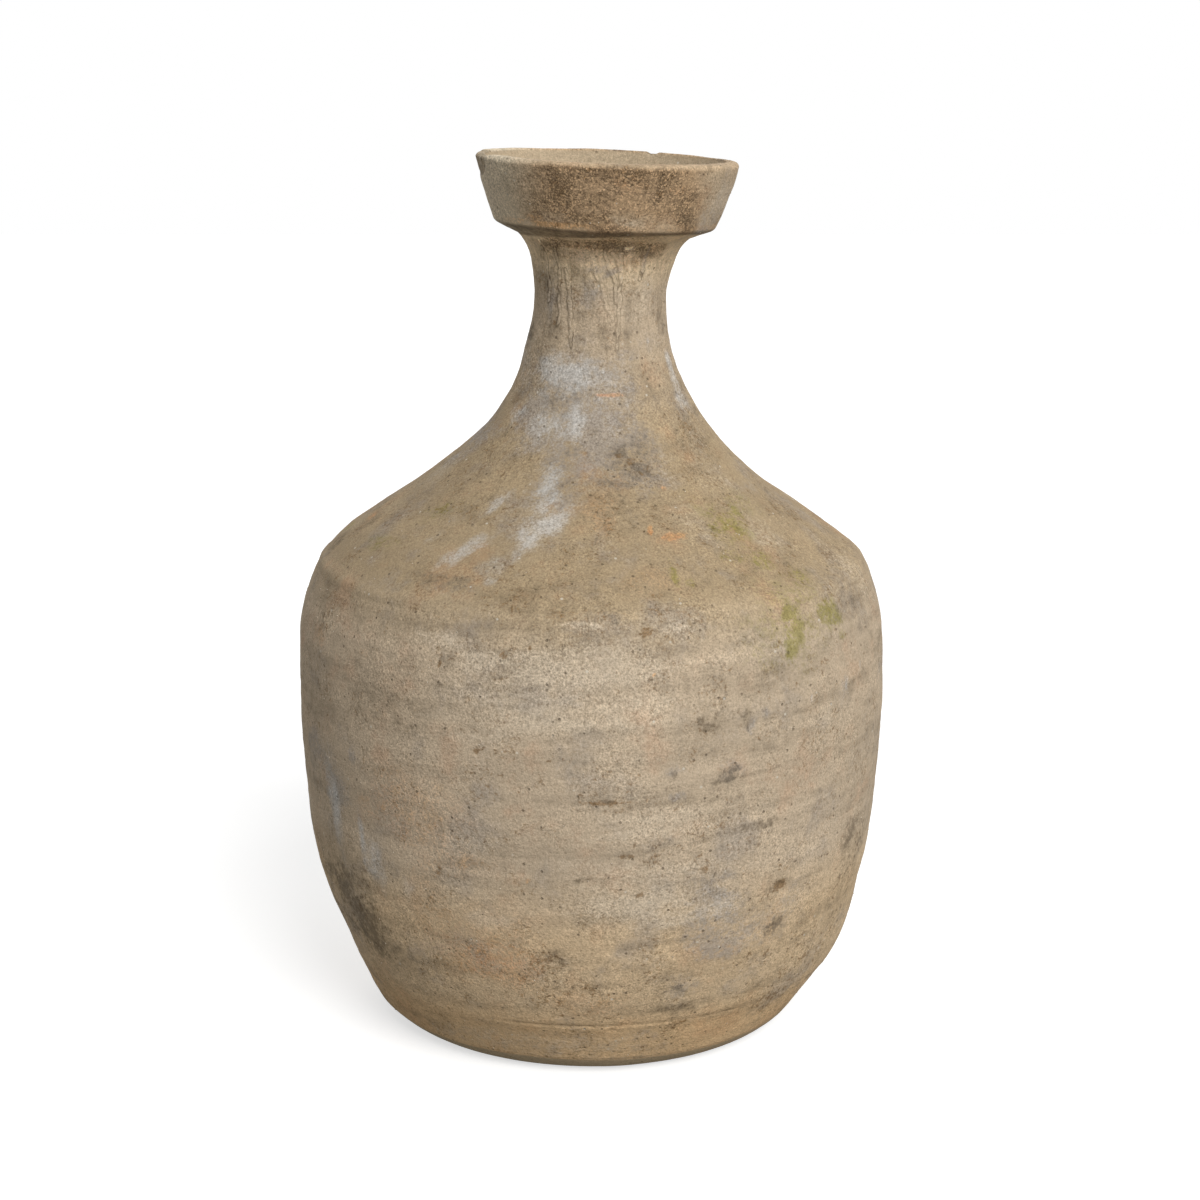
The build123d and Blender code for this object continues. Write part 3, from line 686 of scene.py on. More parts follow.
def arc(start, through, end, step):
    """Points a step apart on the round through three points, without the last."""
    (ax, ay), (bx, by), (cx, cy) = start, through, end
    twice = 2 * (ax * (by - cy) + bx * (cy - ay) + cx * (ay - by))
    a_square, b_square, c_square = (x * x + y * y for x, y in (start, through, end))
    middle_x = (a_square * (by - cy) + b_square * (cy - ay) + c_square * (ay - by)) / twice
    middle_y = (a_square * (cx - bx) + b_square * (ax - cx) + c_square * (bx - ax)) / twice
    radius = math.hypot(ax - middle_x, ay - middle_y)
    first, half, last = (math.atan2(y - middle_y, x - middle_x) for x, y in (start, through, end))
    turn = math.remainder(half - first, FULL_TURN) + math.remainder(last - half, FULL_TURN)
    count = max(2, round(radius * abs(turn) / step))
    angles = (first + turn * index / count for index in range(count))
    return [(middle_x + radius * math.cos(angle), middle_y + radius * math.sin(angle)) for angle in angles]


def line(start, end, step):
    """Points a step apart on a straight line, without the last."""
    count = max(1, round(math.dist(start, end) / step))
    return [tuple(a + (b - a) * index / count for a, b in zip(start, end)) for index in range(count)]


def smooth(points, step):
    """Points a step apart on a curve through all but the first and last points, which only steer it."""
    made = []
    for before, start, end, after in zip(points, points[1:], points[2:], points[3:]):
        run = math.dist(start, end)
        leave_share = run / (run + math.dist(before, start))
        arrive_share = run / (run + math.dist(end, after))
        count = max(1, round(run / step))
        for index in range(count):
            t = index / count
            weights = (
                2 * t**3 - 3 * t**2 + 1,
                (t**3 - 2 * t**2 + t) * leave_share,
                3 * t**2 - 2 * t**3,
                (t**3 - t**2) * arrive_share,
            )
            made.append(tuple(
                weights[0] * b + weights[1] * (c - a) + weights[2] * c + weights[3] * (d - b)
                for a, b, c, d in zip(before, start, end, after)
            ))
    return made


def between(start, end, shares):
    """The point at a share of the height and a share of the radius from one point to another."""
    height_share, radius_share = shares
    return (start[0] + radius_share * (end[0] - start[0]), start[1] + height_share * (end[1] - start[1]))


def follow(heights, values, height):
    """A value that runs smoothly through the given ones as the height rises."""
    if height <= heights[0]:
        return values[0]
    if height >= heights[-1]:
        return values[-1]
    pairs = list(zip(heights, values))
    index = next(i for i, reached in enumerate(heights) if reached > height) - 1
    low, high = pairs[index], pairs[index + 1]
    before, after = pairs[max(index - 1, 0)], pairs[min(index + 2, len(pairs) - 1)]
    run = high[0] - low[0]
    leave = (high[1] - before[1]) / (high[0] - before[0]) * run
    arrive = (after[1] - low[1]) / (after[0] - low[0]) * run
    t = (height - low[0]) / run
    return (
        (2 * t**3 - 3 * t**2 + 1) * low[1]
        + (t**3 - 2 * t**2 + t) * leave
        + (3 * t**2 - 2 * t**3) * high[1]
        + (t**3 - t**2) * arrive
    )


class Outline:
    """The section of the whole wall, as points of radius and height on an upright jar. It runs from
    the middle of the base up the outside, over the lip, and down the inside to the middle again."""

    def __init__(self, sizes):
        self.sizes = sizes
        self.points = []
        self.skins = []
        self.starts = {}
        self.lean = math.asin(neck_bore["axis"][0])
        fine = sizes.row_step
        coarse = sizes.row_step * INSIDE_ROWS
        belly = sizes.belly_radius
        waist = sizes.waist_radius
        foot = sizes.neck_foot
        rim = sizes.rim_radius
        floor = (0.0, sizes.base_thickness)
        edge_foot = (sizes.foot_radius, 0.0)
        base_edge = (belly * BASE_EDGE_SHARE, sizes.base_thickness)
        edge_middle = ((edge_foot[0] + base_edge[0] + EDGE_BULGE) / 2, (base_edge[1] - EDGE_BULGE) / 2)
        foot_top = (belly * FOOT_TOP_SHARE, sizes.foot_top)
        lower_top = (belly * LOWER_TOP_SHARE, sizes.lower_top)
        lower_middle = between(foot_top, lower_top, LOWER_SHARES)
        belly_rise = sizes.belly_top - sizes.lower_top
        widest = (belly, sizes.lower_top + belly_rise * WIDEST_HEIGHT_SHARE)
        belly_turn = (belly * BELLY_TURN_SHARE, sizes.lower_top + belly_rise * BELLY_TURN_HEIGHT_SHARE)
        shoulder_foot = (belly * SHOULDER_FOOT_SHARE, sizes.belly_top)
        belly_curl = between(belly_turn, shoulder_foot, BELLY_CURL_SHARES)
        neck_foot = (waist * NECK_FOOT_RADIUS_SHARE, foot)
        rings = [shoulder_foot] + [between(shoulder_foot, neck_foot, shares) for shares in SHOULDER_SHARES]
        rings.append(neck_foot)
        self.ring_heights = [height for radius, height in rings]
        neck_waist = (waist, foot + sizes.neck_length * WAIST_HEIGHT_SHARE)
        flare_foot = (waist * FLARE_FOOT_RADIUS_SHARE, foot + sizes.neck_length * FLARE_FOOT_SHARE)
        neck_top = (waist * NECK_TOP_RADIUS_SHARE, foot + sizes.neck_length)
        flare = between(flare_foot, neck_top, FLARE_SHARES)
        cup_foot = (rim * CUP_FOOT_RADIUS_SHARE, neck_top[1] + sizes.cup_height * LEDGE_SHARE)
        cup_top = neck_top[1] + sizes.cup_height
        lip_outer = (rim, cup_top - sizes.cup_height * LIP_ROUND_SHARE)
        lip_wall = sizes.wall * LIP_WALL_SHARE
        lip_turn = cup_top - lip_outer[1]
        lip_crest = (rim - lip_turn, cup_top - lip_turn * LIP_CREST_DROP)
        lip_round = (rim - lip_turn * LIP_ROUND_SHARES[0], cup_top - lip_turn * LIP_ROUND_SHARES[1])
        lip_edge = (rim - lip_wall * LIP_EDGE_SHARE, cup_top)
        lip_inner = (rim - lip_wall, cup_top - lip_wall * LIP_INNER_DROP)
        lip_bend = (rim - lip_wall * LIP_BEND_SHARES[0], cup_top - lip_wall * LIP_BEND_SHARES[1])
        cup_wall = sizes.wall * CUP_WALL_SHARE
        bowl_foot = (cup_foot[0] - cup_wall, cup_foot[1] + cup_wall)
        cup_floor = (sizes.bore_radius * CUP_FLOOR_RADIUS_SHARE, neck_top[1])
        bowl = ((bowl_foot[0] + cup_floor[0]) / 2 + cup_wall / 4, (bowl_foot[1] + cup_floor[1]) / 2)
        bore_head = (sizes.bore_radius, foot + sizes.neck_length * BORE_END_SHARE)
        bore_foot = (sizes.bore_radius, foot + sizes.neck_length * BORE_START_SHARE)
        throat_curl = (bore_head[0] + cup_wall / 4, (bore_head[1] + cup_floor[1]) / 2)

        ledge_in = between(cup_foot, neck_top, (LEDGE_ROUND / math.dist(cup_foot, neck_top),) * 2)
        ledge_out = between(cup_foot, lip_outer, (LEDGE_ROUND / math.dist(cup_foot, lip_outer),) * 2)
        ledge_middle = tuple((a + b + c * 2) / 4 for a, b, c in zip(ledge_in, ledge_out, cup_foot))

        self.stretch("base_disc.under", line((0.0, 0.0), edge_foot, coarse * INSIDE_ROWS), UNDER_SKIN)
        self.stretch("base_disc.out", arc(edge_foot, edge_middle, base_edge, fine), EDGE_SKIN)
        self.stretch("foot_band.out", line(base_edge, foot_top, fine * FOOT_ROWS), OUTER_SKIN)
        self.stretch("lower_wall.out", arc(foot_top, lower_middle, lower_top, fine), OUTER_SKIN)
        belly_points = arc(lower_top, widest, belly_turn, fine)
        belly_points += arc(belly_turn, belly_curl, shoulder_foot, fine)
        self.stretch("belly_wall.out", belly_points, OUTER_SKIN)
        shoulder_points = smooth([belly_curl] + rings + [neck_waist], fine * SHOULDER_ROWS)
        self.stretch("shoulder.out", shoulder_points, OUTER_SKIN)
        neck_points = arc(neck_foot, neck_waist, flare_foot, fine * NECK_ROWS)
        neck_points += arc(flare_foot, flare, neck_top, fine * NECK_ROWS)
        self.stretch("neck.out", neck_points, OUTER_SKIN)
        cup_points = line(neck_top, ledge_in, fine * CUP_ROWS)
        cup_points += arc(ledge_in, ledge_middle, ledge_out, fine * LEDGE_ROWS)
        cup_points += line(ledge_out, lip_outer, fine * CUP_ROWS)
        cup_points += arc(lip_outer, lip_round, lip_crest, fine * LIP_ROWS)
        cup_points += line(lip_crest, lip_edge, fine * LIP_TOP_ROWS)
        cup_points += arc(lip_edge, lip_bend, lip_inner, fine * LIP_BEND_ROWS)
        self.stretch("rim_cup.out", cup_points, OUTER_SKIN)
        bowl_points = line(lip_inner, bowl_foot, fine) + arc(bowl_foot, bowl, cup_floor, fine)
        self.stretch("rim_cup.bowl", bowl_points, BOWL_SKIN)
        throat_points = arc(cup_floor, throat_curl, bore_head, fine * THROAT_ROWS)
        throat_points += line(bore_head, bore_foot, fine * BORE_ROWS)
        throat_points += line(bore_foot, self.inward(rings, len(rings) - 1), fine * BORE_ROWS)
        self.stretch("neck.in", throat_points, THROAT_SKIN)
        hollow = [self.inward(rings, index) for index in range(len(rings))]
        body = [base_edge, foot_top, lower_middle, lower_top, widest, belly_turn, belly_curl, shoulder_foot]
        shell = [self.inward(body, index) for index in range(len(body) - 1)] + [hollow[0]]
        self.stretch("shoulder.in", smooth([bore_foot] + hollow[::-1] + [shell[-2]], coarse), INNER_SKIN)
        self.stretch("belly_wall.in", smooth([hollow[1]] + shell[:2:-1] + [shell[2]], coarse), INNER_SKIN)
        self.stretch("lower_wall.in", smooth([shell[4]] + shell[3:0:-1] + [shell[0]], coarse), INNER_SKIN)
        self.stretch("foot_band.in", line(shell[1], shell[0], coarse), INNER_SKIN)
        self.stretch("base_disc.in", line(shell[0], floor, coarse * INSIDE_ROWS) + [floor], UNDER_SKIN)
        self.starts["end"] = len(self.points) - 1

    def stretch(self, name, points, skin):
        """Adds points that take a share of the relief, from its first share to its last."""
        self.starts[name] = len(self.points)
        for index, point in enumerate(points):
            share = index / max(len(points) - 1, 1)
            self.points.append(point)
            self.skins.append(skin[0] + (skin[1] - skin[0]) * share)

    def inward(self, points, index):
        """The point of the inner surface level with one of the outline, a wall's thickness away."""
        radius, height = points[index]
        below, above = points[max(index - 1, 0)], points[min(index + 1, len(points) - 1)]
        slope = (above[0] - below[0]) / (above[1] - below[1])
        wall = self.sizes.wall * (FOOT_WALL_SHARE - WALL_TAPER * height / self.sizes.neck_foot)
        return radius - wall * math.hypot(1, slope), height

    def facing(self, index):
        """The way that the surface faces at a point."""
        last = len(self.points) - 1
        before, after = self.points[max(index - 1, 0)], self.points[min(index + 1, last)]
        run = math.dist(before, after)
        return (after[1] - before[1]) / run, (before[0] - after[0]) / run

    def hub(self, height):
        """The middle of the ring at a height of the upright jar, on the jar as it leans."""
        shift = self.sizes.neck_shift
        over = max(height - self.sizes.neck_foot, 0)
        moved = shift * follow(self.ring_heights, SHIFT_SHARES, height) + over * math.sin(self.lean)
        return Vector((moved, 0, height - over * (1 - math.cos(self.lean))))

    def turned(self, height):
        """How far the ring at a height is turned towards the neck's lean."""
        return self.lean * follow(self.ring_heights, LEAN_SHARES, height)

    def radius_at(self, height):
        """The radius of the outside at a height of the upright jar."""
        upward = self.points[self.starts["base_disc.out"]:self.starts["rim_cup.bowl"]]
        for low, high in zip(upward, upward[1:]):
            if low[1] <= height <= high[1] and high[1] > low[1]:
                return low[0] + (high[0] - low[0]) * (height - low[1]) / (high[1] - low[1])
        return upward[-1][0]

    def on_wall(self, turn, height):
        """The place on the outside of the upright jar at a turn in degrees and a height."""
        radius, angle = self.radius_at(height), math.radians(turn)
        return Vector((radius * math.sin(angle), -radius * math.cos(angle), height))

    def lute(self, outer, inner):
        """The V of a joint, from the outside in, between two points at one height."""
        middle = (outer[0] + inner[0]) / 2
        return [
            (middle + LUTE_WIDTH / 2, outer[1]),
            (middle, outer[1] - LUTE_DEPTH),
            (middle - LUTE_WIDTH / 2, outer[1]),
        ]

    def run(self, first, last):
        """The points from one start to another, each with its skin and facing."""
        indices = range(self.starts[first], self.starts[last] + 1)
        return [(self.points[index], self.skins[index], self.facing(index)) for index in indices]

    def section(self, name):
        """The outline of one section, anticlockwise from its foot, and whether it is a closed loop."""
        number = SECTION_NAMES.index(name)
        level = (1.0, 0.0)
        if name == "rim_cup":
            skin = self.run("rim_cup.out", "neck.in")
            return skin + [(point, 0, level) for point in self.lute(skin[0][0], skin[-1][0])[::-1]], True
        following = SECTION_NAMES[number + 1]
        first = "base_disc.under" if number == 0 else name + ".out"
        outside = self.run(first, following + ".out")
        inside = self.run(name + ".in", SECTION_NAMES[number - 1] + ".in" if number else "end")
        top = [(point, 0, level) for point in self.lute(outside[-1][0], inside[0][0])]
        if number == 0:
            return outside + top + inside, False
        bottom = [(point, 0, level) for point in self.lute(outside[0][0], inside[-1][0])[::-1]]
        return outside + top + inside + bottom, True


class Value:
    """The output of a node. Arithmetic with it adds the node that works the answer out. That of a
    vector or a colour goes part by part, but one factor scales the whole of it."""

    def __init__(self, wire, socket):
        self.wire = wire
        self.socket = socket
        self.has_parts = socket.type in ("VECTOR", "RGBA")

    def reckon(self, operation, other):
        """This value put through an operation with another value, a number or three numbers."""
        if not self.has_parts:
            return self.wire.math(operation, self, other)
        if operation == "MULTIPLY" and not isinstance(other, tuple):
            operation = "SCALE"
        return self.wire.vector(operation, self, other)

    def __add__(self, other):
        return self.reckon("ADD", other)

    def __sub__(self, other):
        return self.reckon("SUBTRACT", other)

    def __mul__(self, other):
        return self.reckon("MULTIPLY", other)

    def __truediv__(self, other):
        return self.reckon("DIVIDE", other)

    def __neg__(self):
        return self * -1.0

    def __abs__(self):
        return self.wire.math("ABSOLUTE", self)


class Wiring:
    """Adds nodes to a tree. An input is a plain value or the output of an earlier node."""

    def __init__(self, tree):
        self.tree = tree

    def fill(self, socket, value):
        """Joins an input to an output, or sets its value."""
        if isinstance(value, Value):
            self.tree.links.new(value.socket, socket)
        elif socket.type == "RGBA" and len(value) == 3:
            socket.default_value = (*value, 1)
        else:
            socket.default_value = value

    def new(self, kind, **settings):
        """Adds a node and sets it."""
        node = self.tree.nodes.new(kind)
        for name, value in settings.items():
            setattr(node, name, value)
        return node

    def add(self, kind, *values, output=0, **settings):
        """Adds a node, fills its open inputs in order, and returns one of its open outputs."""
        node = self.new(kind, **settings)
        inputs = [socket for socket in node.inputs if socket.enabled]
        for socket, value in zip(inputs, values):
            if value is not None:
                self.fill(socket, value)
        return Value(self, [socket for socket in node.outputs if socket.enabled][output])

    def named(self, kind, inputs=None, **settings):
        """Adds a node, fills inputs by name, and returns its outputs by name."""
        node = self.new(kind, **settings)
        for name, value in (inputs or {}).items():
            self.fill(node.inputs[name], value)
        return {socket.name: Value(self, socket) for socket in node.outputs}

    def math(self, operation, *values):
        return self.add("ShaderNodeMath", *values, operation=operation)

    def vector(self, operation, *values):
        return self.add("ShaderNodeVectorMath", *values, operation=operation)

    def parts(self, vector):
        """The x, y and z of a vector."""
        separated = self.named("ShaderNodeSeparateXYZ", {"Vector": vector})
        return separated["X"], separated["Y"], separated["Z"]

    def join(self, x, y, z=0.0):
        """A vector from its x, y and z."""
        return self.add("ShaderNodeCombineXYZ", x, y, z)

    def reach(self, x, y):
        """How far a flat vector reaches."""
        return self.vector("LENGTH", self.join(x, y))

    def between(self, value, start, end, low=0.0, high=1.0, kind="SMOOTHSTEP"):
        """A value eased from low to high as another goes from start to end."""
        return self.add("ShaderNodeMapRange", value, start, end, low, high, interpolation_type=kind)

    def noise(self, place, scale, detail=2.0, roughness=0.5, output=0):
        """Even noise about one half, or three of them as a colour."""
        return self.add("ShaderNodeTexNoise", place, scale, detail, roughness, output=output)

    def swing(self, place, scale, detail=2.0, roughness=0.5):
        """Noise about zero, mostly between plus and minus one."""
        return (self.noise(place, scale, detail, roughness) - NOISE_MIDDLE) * NOISE_SPREAD

    def jitter(self, place, scale, detail, roughness):
        """Three noises about zero, mostly within a quarter of it."""
        return self.noise(place, scale, detail, roughness, output=1) - (NOISE_MIDDLE,) * 3

    def mix(self, factor, first, second):
        """One colour laid over another."""
        return self.add("ShaderNodeMix", factor, first, second, data_type="RGBA")

    def attribute(self, name, kind="FLOAT"):
        """A named attribute, in a geometry tree."""
        return self.add("GeometryNodeInputNamedAttribute", name, data_type=kind)

    def painted(self, name):
        """A named attribute, in a material."""
        return self.named("ShaderNodeAttribute", attribute_name=name)["Fac"]

    def store(self, geometry, name, value, kind="FLOAT", where=None):
        """Keeps a value on each point of a geometry under a name."""
        return self.add("GeometryNodeStoreNamedAttribute", geometry, where, name, value, data_type=kind)

    def sample(self, geometry, value, index, kind="FLOAT"):
        """A value at one point of a geometry."""
        return self.add("GeometryNodeSampleIndex", geometry, value, index, data_type=kind)

    def given(self, kinds):
        """Makes the tree's named inputs of each kind, and returns their outputs inside it."""
        for kind, names in kinds.items():
            for name in names:
                self.tree.interface.new_socket(name, in_out="INPUT", socket_type="NodeSocket" + kind)
        return self.named("NodeGroupInput")

    def result(self, geometry):
        """Ends the tree."""
        self.tree.interface.new_socket(name="Geometry", in_out="OUTPUT", socket_type="NodeSocketGeometry")
        self.named("NodeGroupOutput", {"Geometry": geometry})


def far_marks():
    """Marks of each kind for the sides and back, the same each time."""
    chance = random.Random(FAR_MARKS_SEED)
    made = {}
    for kind, (count, low, high, smallest, largest, flatness) in FAR_MARKS.items():
        made[kind] = []
        for _ in range(count):
            turn = chance.uniform(NEAREST_FAR_TURN, FARTHEST_FAR_TURN)
            width = smallest + (largest - smallest) * chance.random() ** FAR_SIZE_POWER
            height = width * flatness * chance.uniform(*FAR_FLATNESS)
            tilt = chance.uniform(-FAR_TILT, FAR_TILT)
            place = chance.uniform(low, high)
            made[kind].append((turn, place, width, height, chance.uniform(*FAR_STRENGTH), tilt))
    return made


def in_scene(name, mesh):
    """A new object of a mesh, at the origin."""
    thing = bpy.data.objects.new(name, mesh)
    bpy.context.scene.collection.objects.link(thing)
    return thing


def points_mesh(name, points, edges=(), **attributes):
    """A mesh of loose points, each with values of named attributes: one number, or three."""
    mesh = bpy.data.meshes.new(name)
    mesh.from_pydata(points, edges, [])
    for attribute, values in attributes.items():
        first = values[0] if values else 0.0
        if isinstance(first, tuple):
            flat = [part for value in values for part in value]
            mesh.attributes.new(attribute, "FLOAT_VECTOR", "POINT").data.foreach_set("vector", flat)
        else:
            kind = "INT" if isinstance(first, int) else "FLOAT"
            mesh.attributes.new(attribute, kind, "POINT").data.foreach_set("value", values)
    return mesh


def marks_object(low, high):
    """Loose points, one for each mark that reaches the wall between two heights."""
    far = far_marks()
    places, spreads, strengths, kinds = [], [], [], []
    for number, (kind, softness) in enumerate(MARK_KINDS.items()):
        for mark in MARKS[kind] + tuple(far.get(kind, ())):
            turn, height, half_width, half_height, strength = mark[:5]
            tilt = math.radians(mark[5] if len(mark) > 5 else 0)
            reach = max(half_height, half_width * abs(math.sin(tilt))) * MARK_SPILL
            if low / MM - reach <= height <= high / MM + reach:
                places.append((turn, height * MM, tilt))
                spreads.append((half_width * MM, half_height * MM, softness))
                strengths.append(float(strength))
                kinds.append(number)
    return in_scene("marks", points_mesh("marks", places, spread=spreads, strength=strengths, kind=kinds))


def drips_object(outline):
    """Lines down the upright neck where slip ran and dried."""
    points, edges = [], []
    for drip in DRIPS:
        for (turn, height), (next_turn, next_height) in zip(drip, drip[1:]):
            steps = max(1, round(abs(next_height - height) / DRIP_STEP))
            for step in range(steps + 1):
                share = step / steps
                here = (turn + (next_turn - turn) * share, (height + (next_height - height) * share) * MM)
                if step:
                    edges.append((len(points) - 1, len(points)))
                points.append(outline.on_wall(*here))
    return in_scene("drips", points_mesh("drips", points, edges))


def profile_object(outline, section):
    """Loose points for one section's outline, each with what the thrown wall needs there, and with
    them whether the outline is closed, and its lowest and highest heights."""
    rows, closed = outline.section(section)
    heights = [height for (_, height), _, _ in rows]
    mesh = points_mesh(
        section,
        [(radius, 0, height) for (radius, height), _, _ in rows],
        out=[(over, 0, up) for _, _, (over, up) in rows],
        hub=[tuple(outline.hub(height)) for height in heights],
        skin=[float(skin) for _, skin, _ in rows],
        lean=[outline.turned(height) for height in heights],
    )
    return in_scene("thrown_" + section, mesh), closed, min(heights), max(heights)


def add_marks(wire, wall, marks_given):
    """Walks through the marks and adds each to the attribute of its kind on the upright wall."""
    marks = wire.add("GeometryNodeObjectInfo", marks_given, output=-1)
    start, finish = wire.new("GeometryNodeRepeatInput"), wire.new("GeometryNodeRepeatOutput")
    start.pair_with_output(finish)
    count = wire.add("GeometryNodeAttributeDomainSize", marks, component="MESH")
    wire.fill(start.inputs["Iterations"], count)
    wire.fill(start.inputs["Geometry"], wall)
    number = Value(wire, start.outputs["Iteration"])

    place = wire.sample(marks, wire.add("GeometryNodeInputPosition"), number, "FLOAT_VECTOR")
    mark_turn, mark_height, tilt = wire.parts(place)
    spread = wire.sample(marks, wire.attribute("spread", "FLOAT_VECTOR"), number, "FLOAT_VECTOR")
    half_width, half_height, softness = wire.parts(spread)
    strength = wire.sample(marks, wire.attribute("strength"), number)
    names = wire.new("GeometryNodeIndexSwitch", data_type="STRING")
    while len(names.index_switch_items) < len(MARK_KINDS):
        names.index_switch_items.new()
    wire.fill(names.inputs["Index"], wire.sample(marks, wire.attribute("kind", "INT"), number, "INT"))
    slots = [socket for socket in names.inputs if socket.enabled and socket.type == "STRING"]
    for socket, kind in zip(slots, MARK_KINDS):
        socket.default_value = kind
    name = Value(wire, names.outputs[0])

    apart = wire.math("WRAP", wire.attribute("turn") - mark_turn, 180.0, -180.0)
    across = wire.math("RADIANS", apart) * wire.attribute("radius")
    up = wire.attribute("upright") - mark_height
    cosine, sine = wire.math("COSINE", tilt), wire.math("SINE", tilt)
    along = (across * cosine + up * sine) / half_width
    aside = (up * cosine - across * sine) / half_height
    raggedness = wire.between(softness, *RAGGED_WHEN_SOFT)
    raggedness = wire.math("MINIMUM", raggedness, wire.between(softness, *RAGGED_WHEN_HARD))
    ragged = wire.jitter(wire.join(along, aside, number * MARKS_APART), *RAGGED_NOISE) * raggedness
    ragged_x, ragged_y, _ = wire.parts(ragged)
    inside = wire.between(wire.reach(along + ragged_x, aside + ragged_y), MARK_EDGE, softness)
    near = wire.math("LESS_THAN", wire.reach(along, aside), MARK_REACH)
    total = wire.attribute(name) + inside * strength
    marked = wire.store(Value(wire, start.outputs["Geometry"]), name, total, where=near)
    wire.fill(finish.inputs["Geometry"], marked)
    return Value(wire, finish.outputs["Geometry"])


def relief(wire, given):
    """How far the surface of the upright wall stands out, and how much of that, in millimetres, is
    fine unevenness and how much is slip that ran down."""
    place = wire.add("GeometryNodeInputPosition")
    x, y, z = wire.parts(place)
    turn = wire.math("ARCTAN2", x, -y)
    rings = wire.swing(wire.join(x, y, z - x * RING_SLANT) * RING_SCALES, *RING_NOISE) * given["Ring depth"]
    lumps = wire.swing(place, LUMP_SCALE, 1.0) + wire.swing(place, DENT_SCALE, 1.0) * DENT_SHARE
    grain = wire.swing(place, *GRAIN_NOISE) * given["Grain depth"]

    cells = wire.named("ShaderNodeTexVoronoi", {"Vector": place, "Scale": BURST_SCALE})
    chosen, _, _ = wire.parts(cells["Color"])
    width = wire.between(chosen, BURST_CHOICE, 1.0, *BURST_WIDTHS, "LINEAR")
    burst = wire.between(cells["Distance"], width, width * BURST_FLOOR_SHARE)
    burst = burst * wire.math("GREATER_THAN", chosen, BURST_CHOICE) * given["Pit depth"]

    wander = wire.swing(place, WANDER_SCALE) * WANDER_DEPTH
    groove = wire.between(abs(z - given["Groove height"] - wander), *GROOVE_HALF_WIDTHS)
    front = wire.between(turn, *GROOVE_FROM_TURN) * wire.between(turn, *GROOVE_TO_TURN)
    rear = wire.between(abs(turn), *GROOVE_REAR_TURN)
    groove = groove * wire.math("MAXIMUM", front, rear) * given["Groove depth"]
    ridge = wire.between(abs(z - given["Ridge height"] - wander), *RIDGE_HALF_WIDTHS) * RIDGE_DEPTH

    drips = wire.add("GeometryNodeObjectInfo", given["Drips"], output=-1)
    wavered = place + wire.jitter(place, *WAVER_NOISE) * WAVER_DEPTH
    near = wire.named(
        "GeometryNodeProximity", {"Geometry": drips, "Sample Position": wavered}, target_element="EDGES"
    )
    drip = wire.between(near["Distance"], *DRIP_HALF_WIDTHS) * given["Drip height"]

    broken = wire.swing(wire.join(turn * BREAK_SCALES[0], z * BREAK_SCALES[1]), 1.0, 3.0)
    chip = wire.attribute("chip") * (broken * BREAK_ROUGHNESS + BREAK_DEPTH)
    fine = rings + grain + (drip + ridge) - (burst + groove + wire.attribute("pit") * MM)
    coarse = lumps * given["Lump depth"] + wire.attribute("swell") * MM - chip
    stands_out = (fine + coarse - RELIEF_SINK) * wire.attribute("skin")
    return stands_out, fine / MM, drip / MM


def kept_inside(wire, place, limit):
    """A place moved in, where it must, to stay over the floor and within the belly's radius."""
    x, y, z = wire.parts(place)
    radius = wire.math("MAXIMUM", wire.reach(x, y), LEAST_RADIUS)
    share = wire.math("MINIMUM", limit / radius, 1.0)
    return wire.join(x * share, y * share, wire.math("MAXIMUM", z, 0.0))


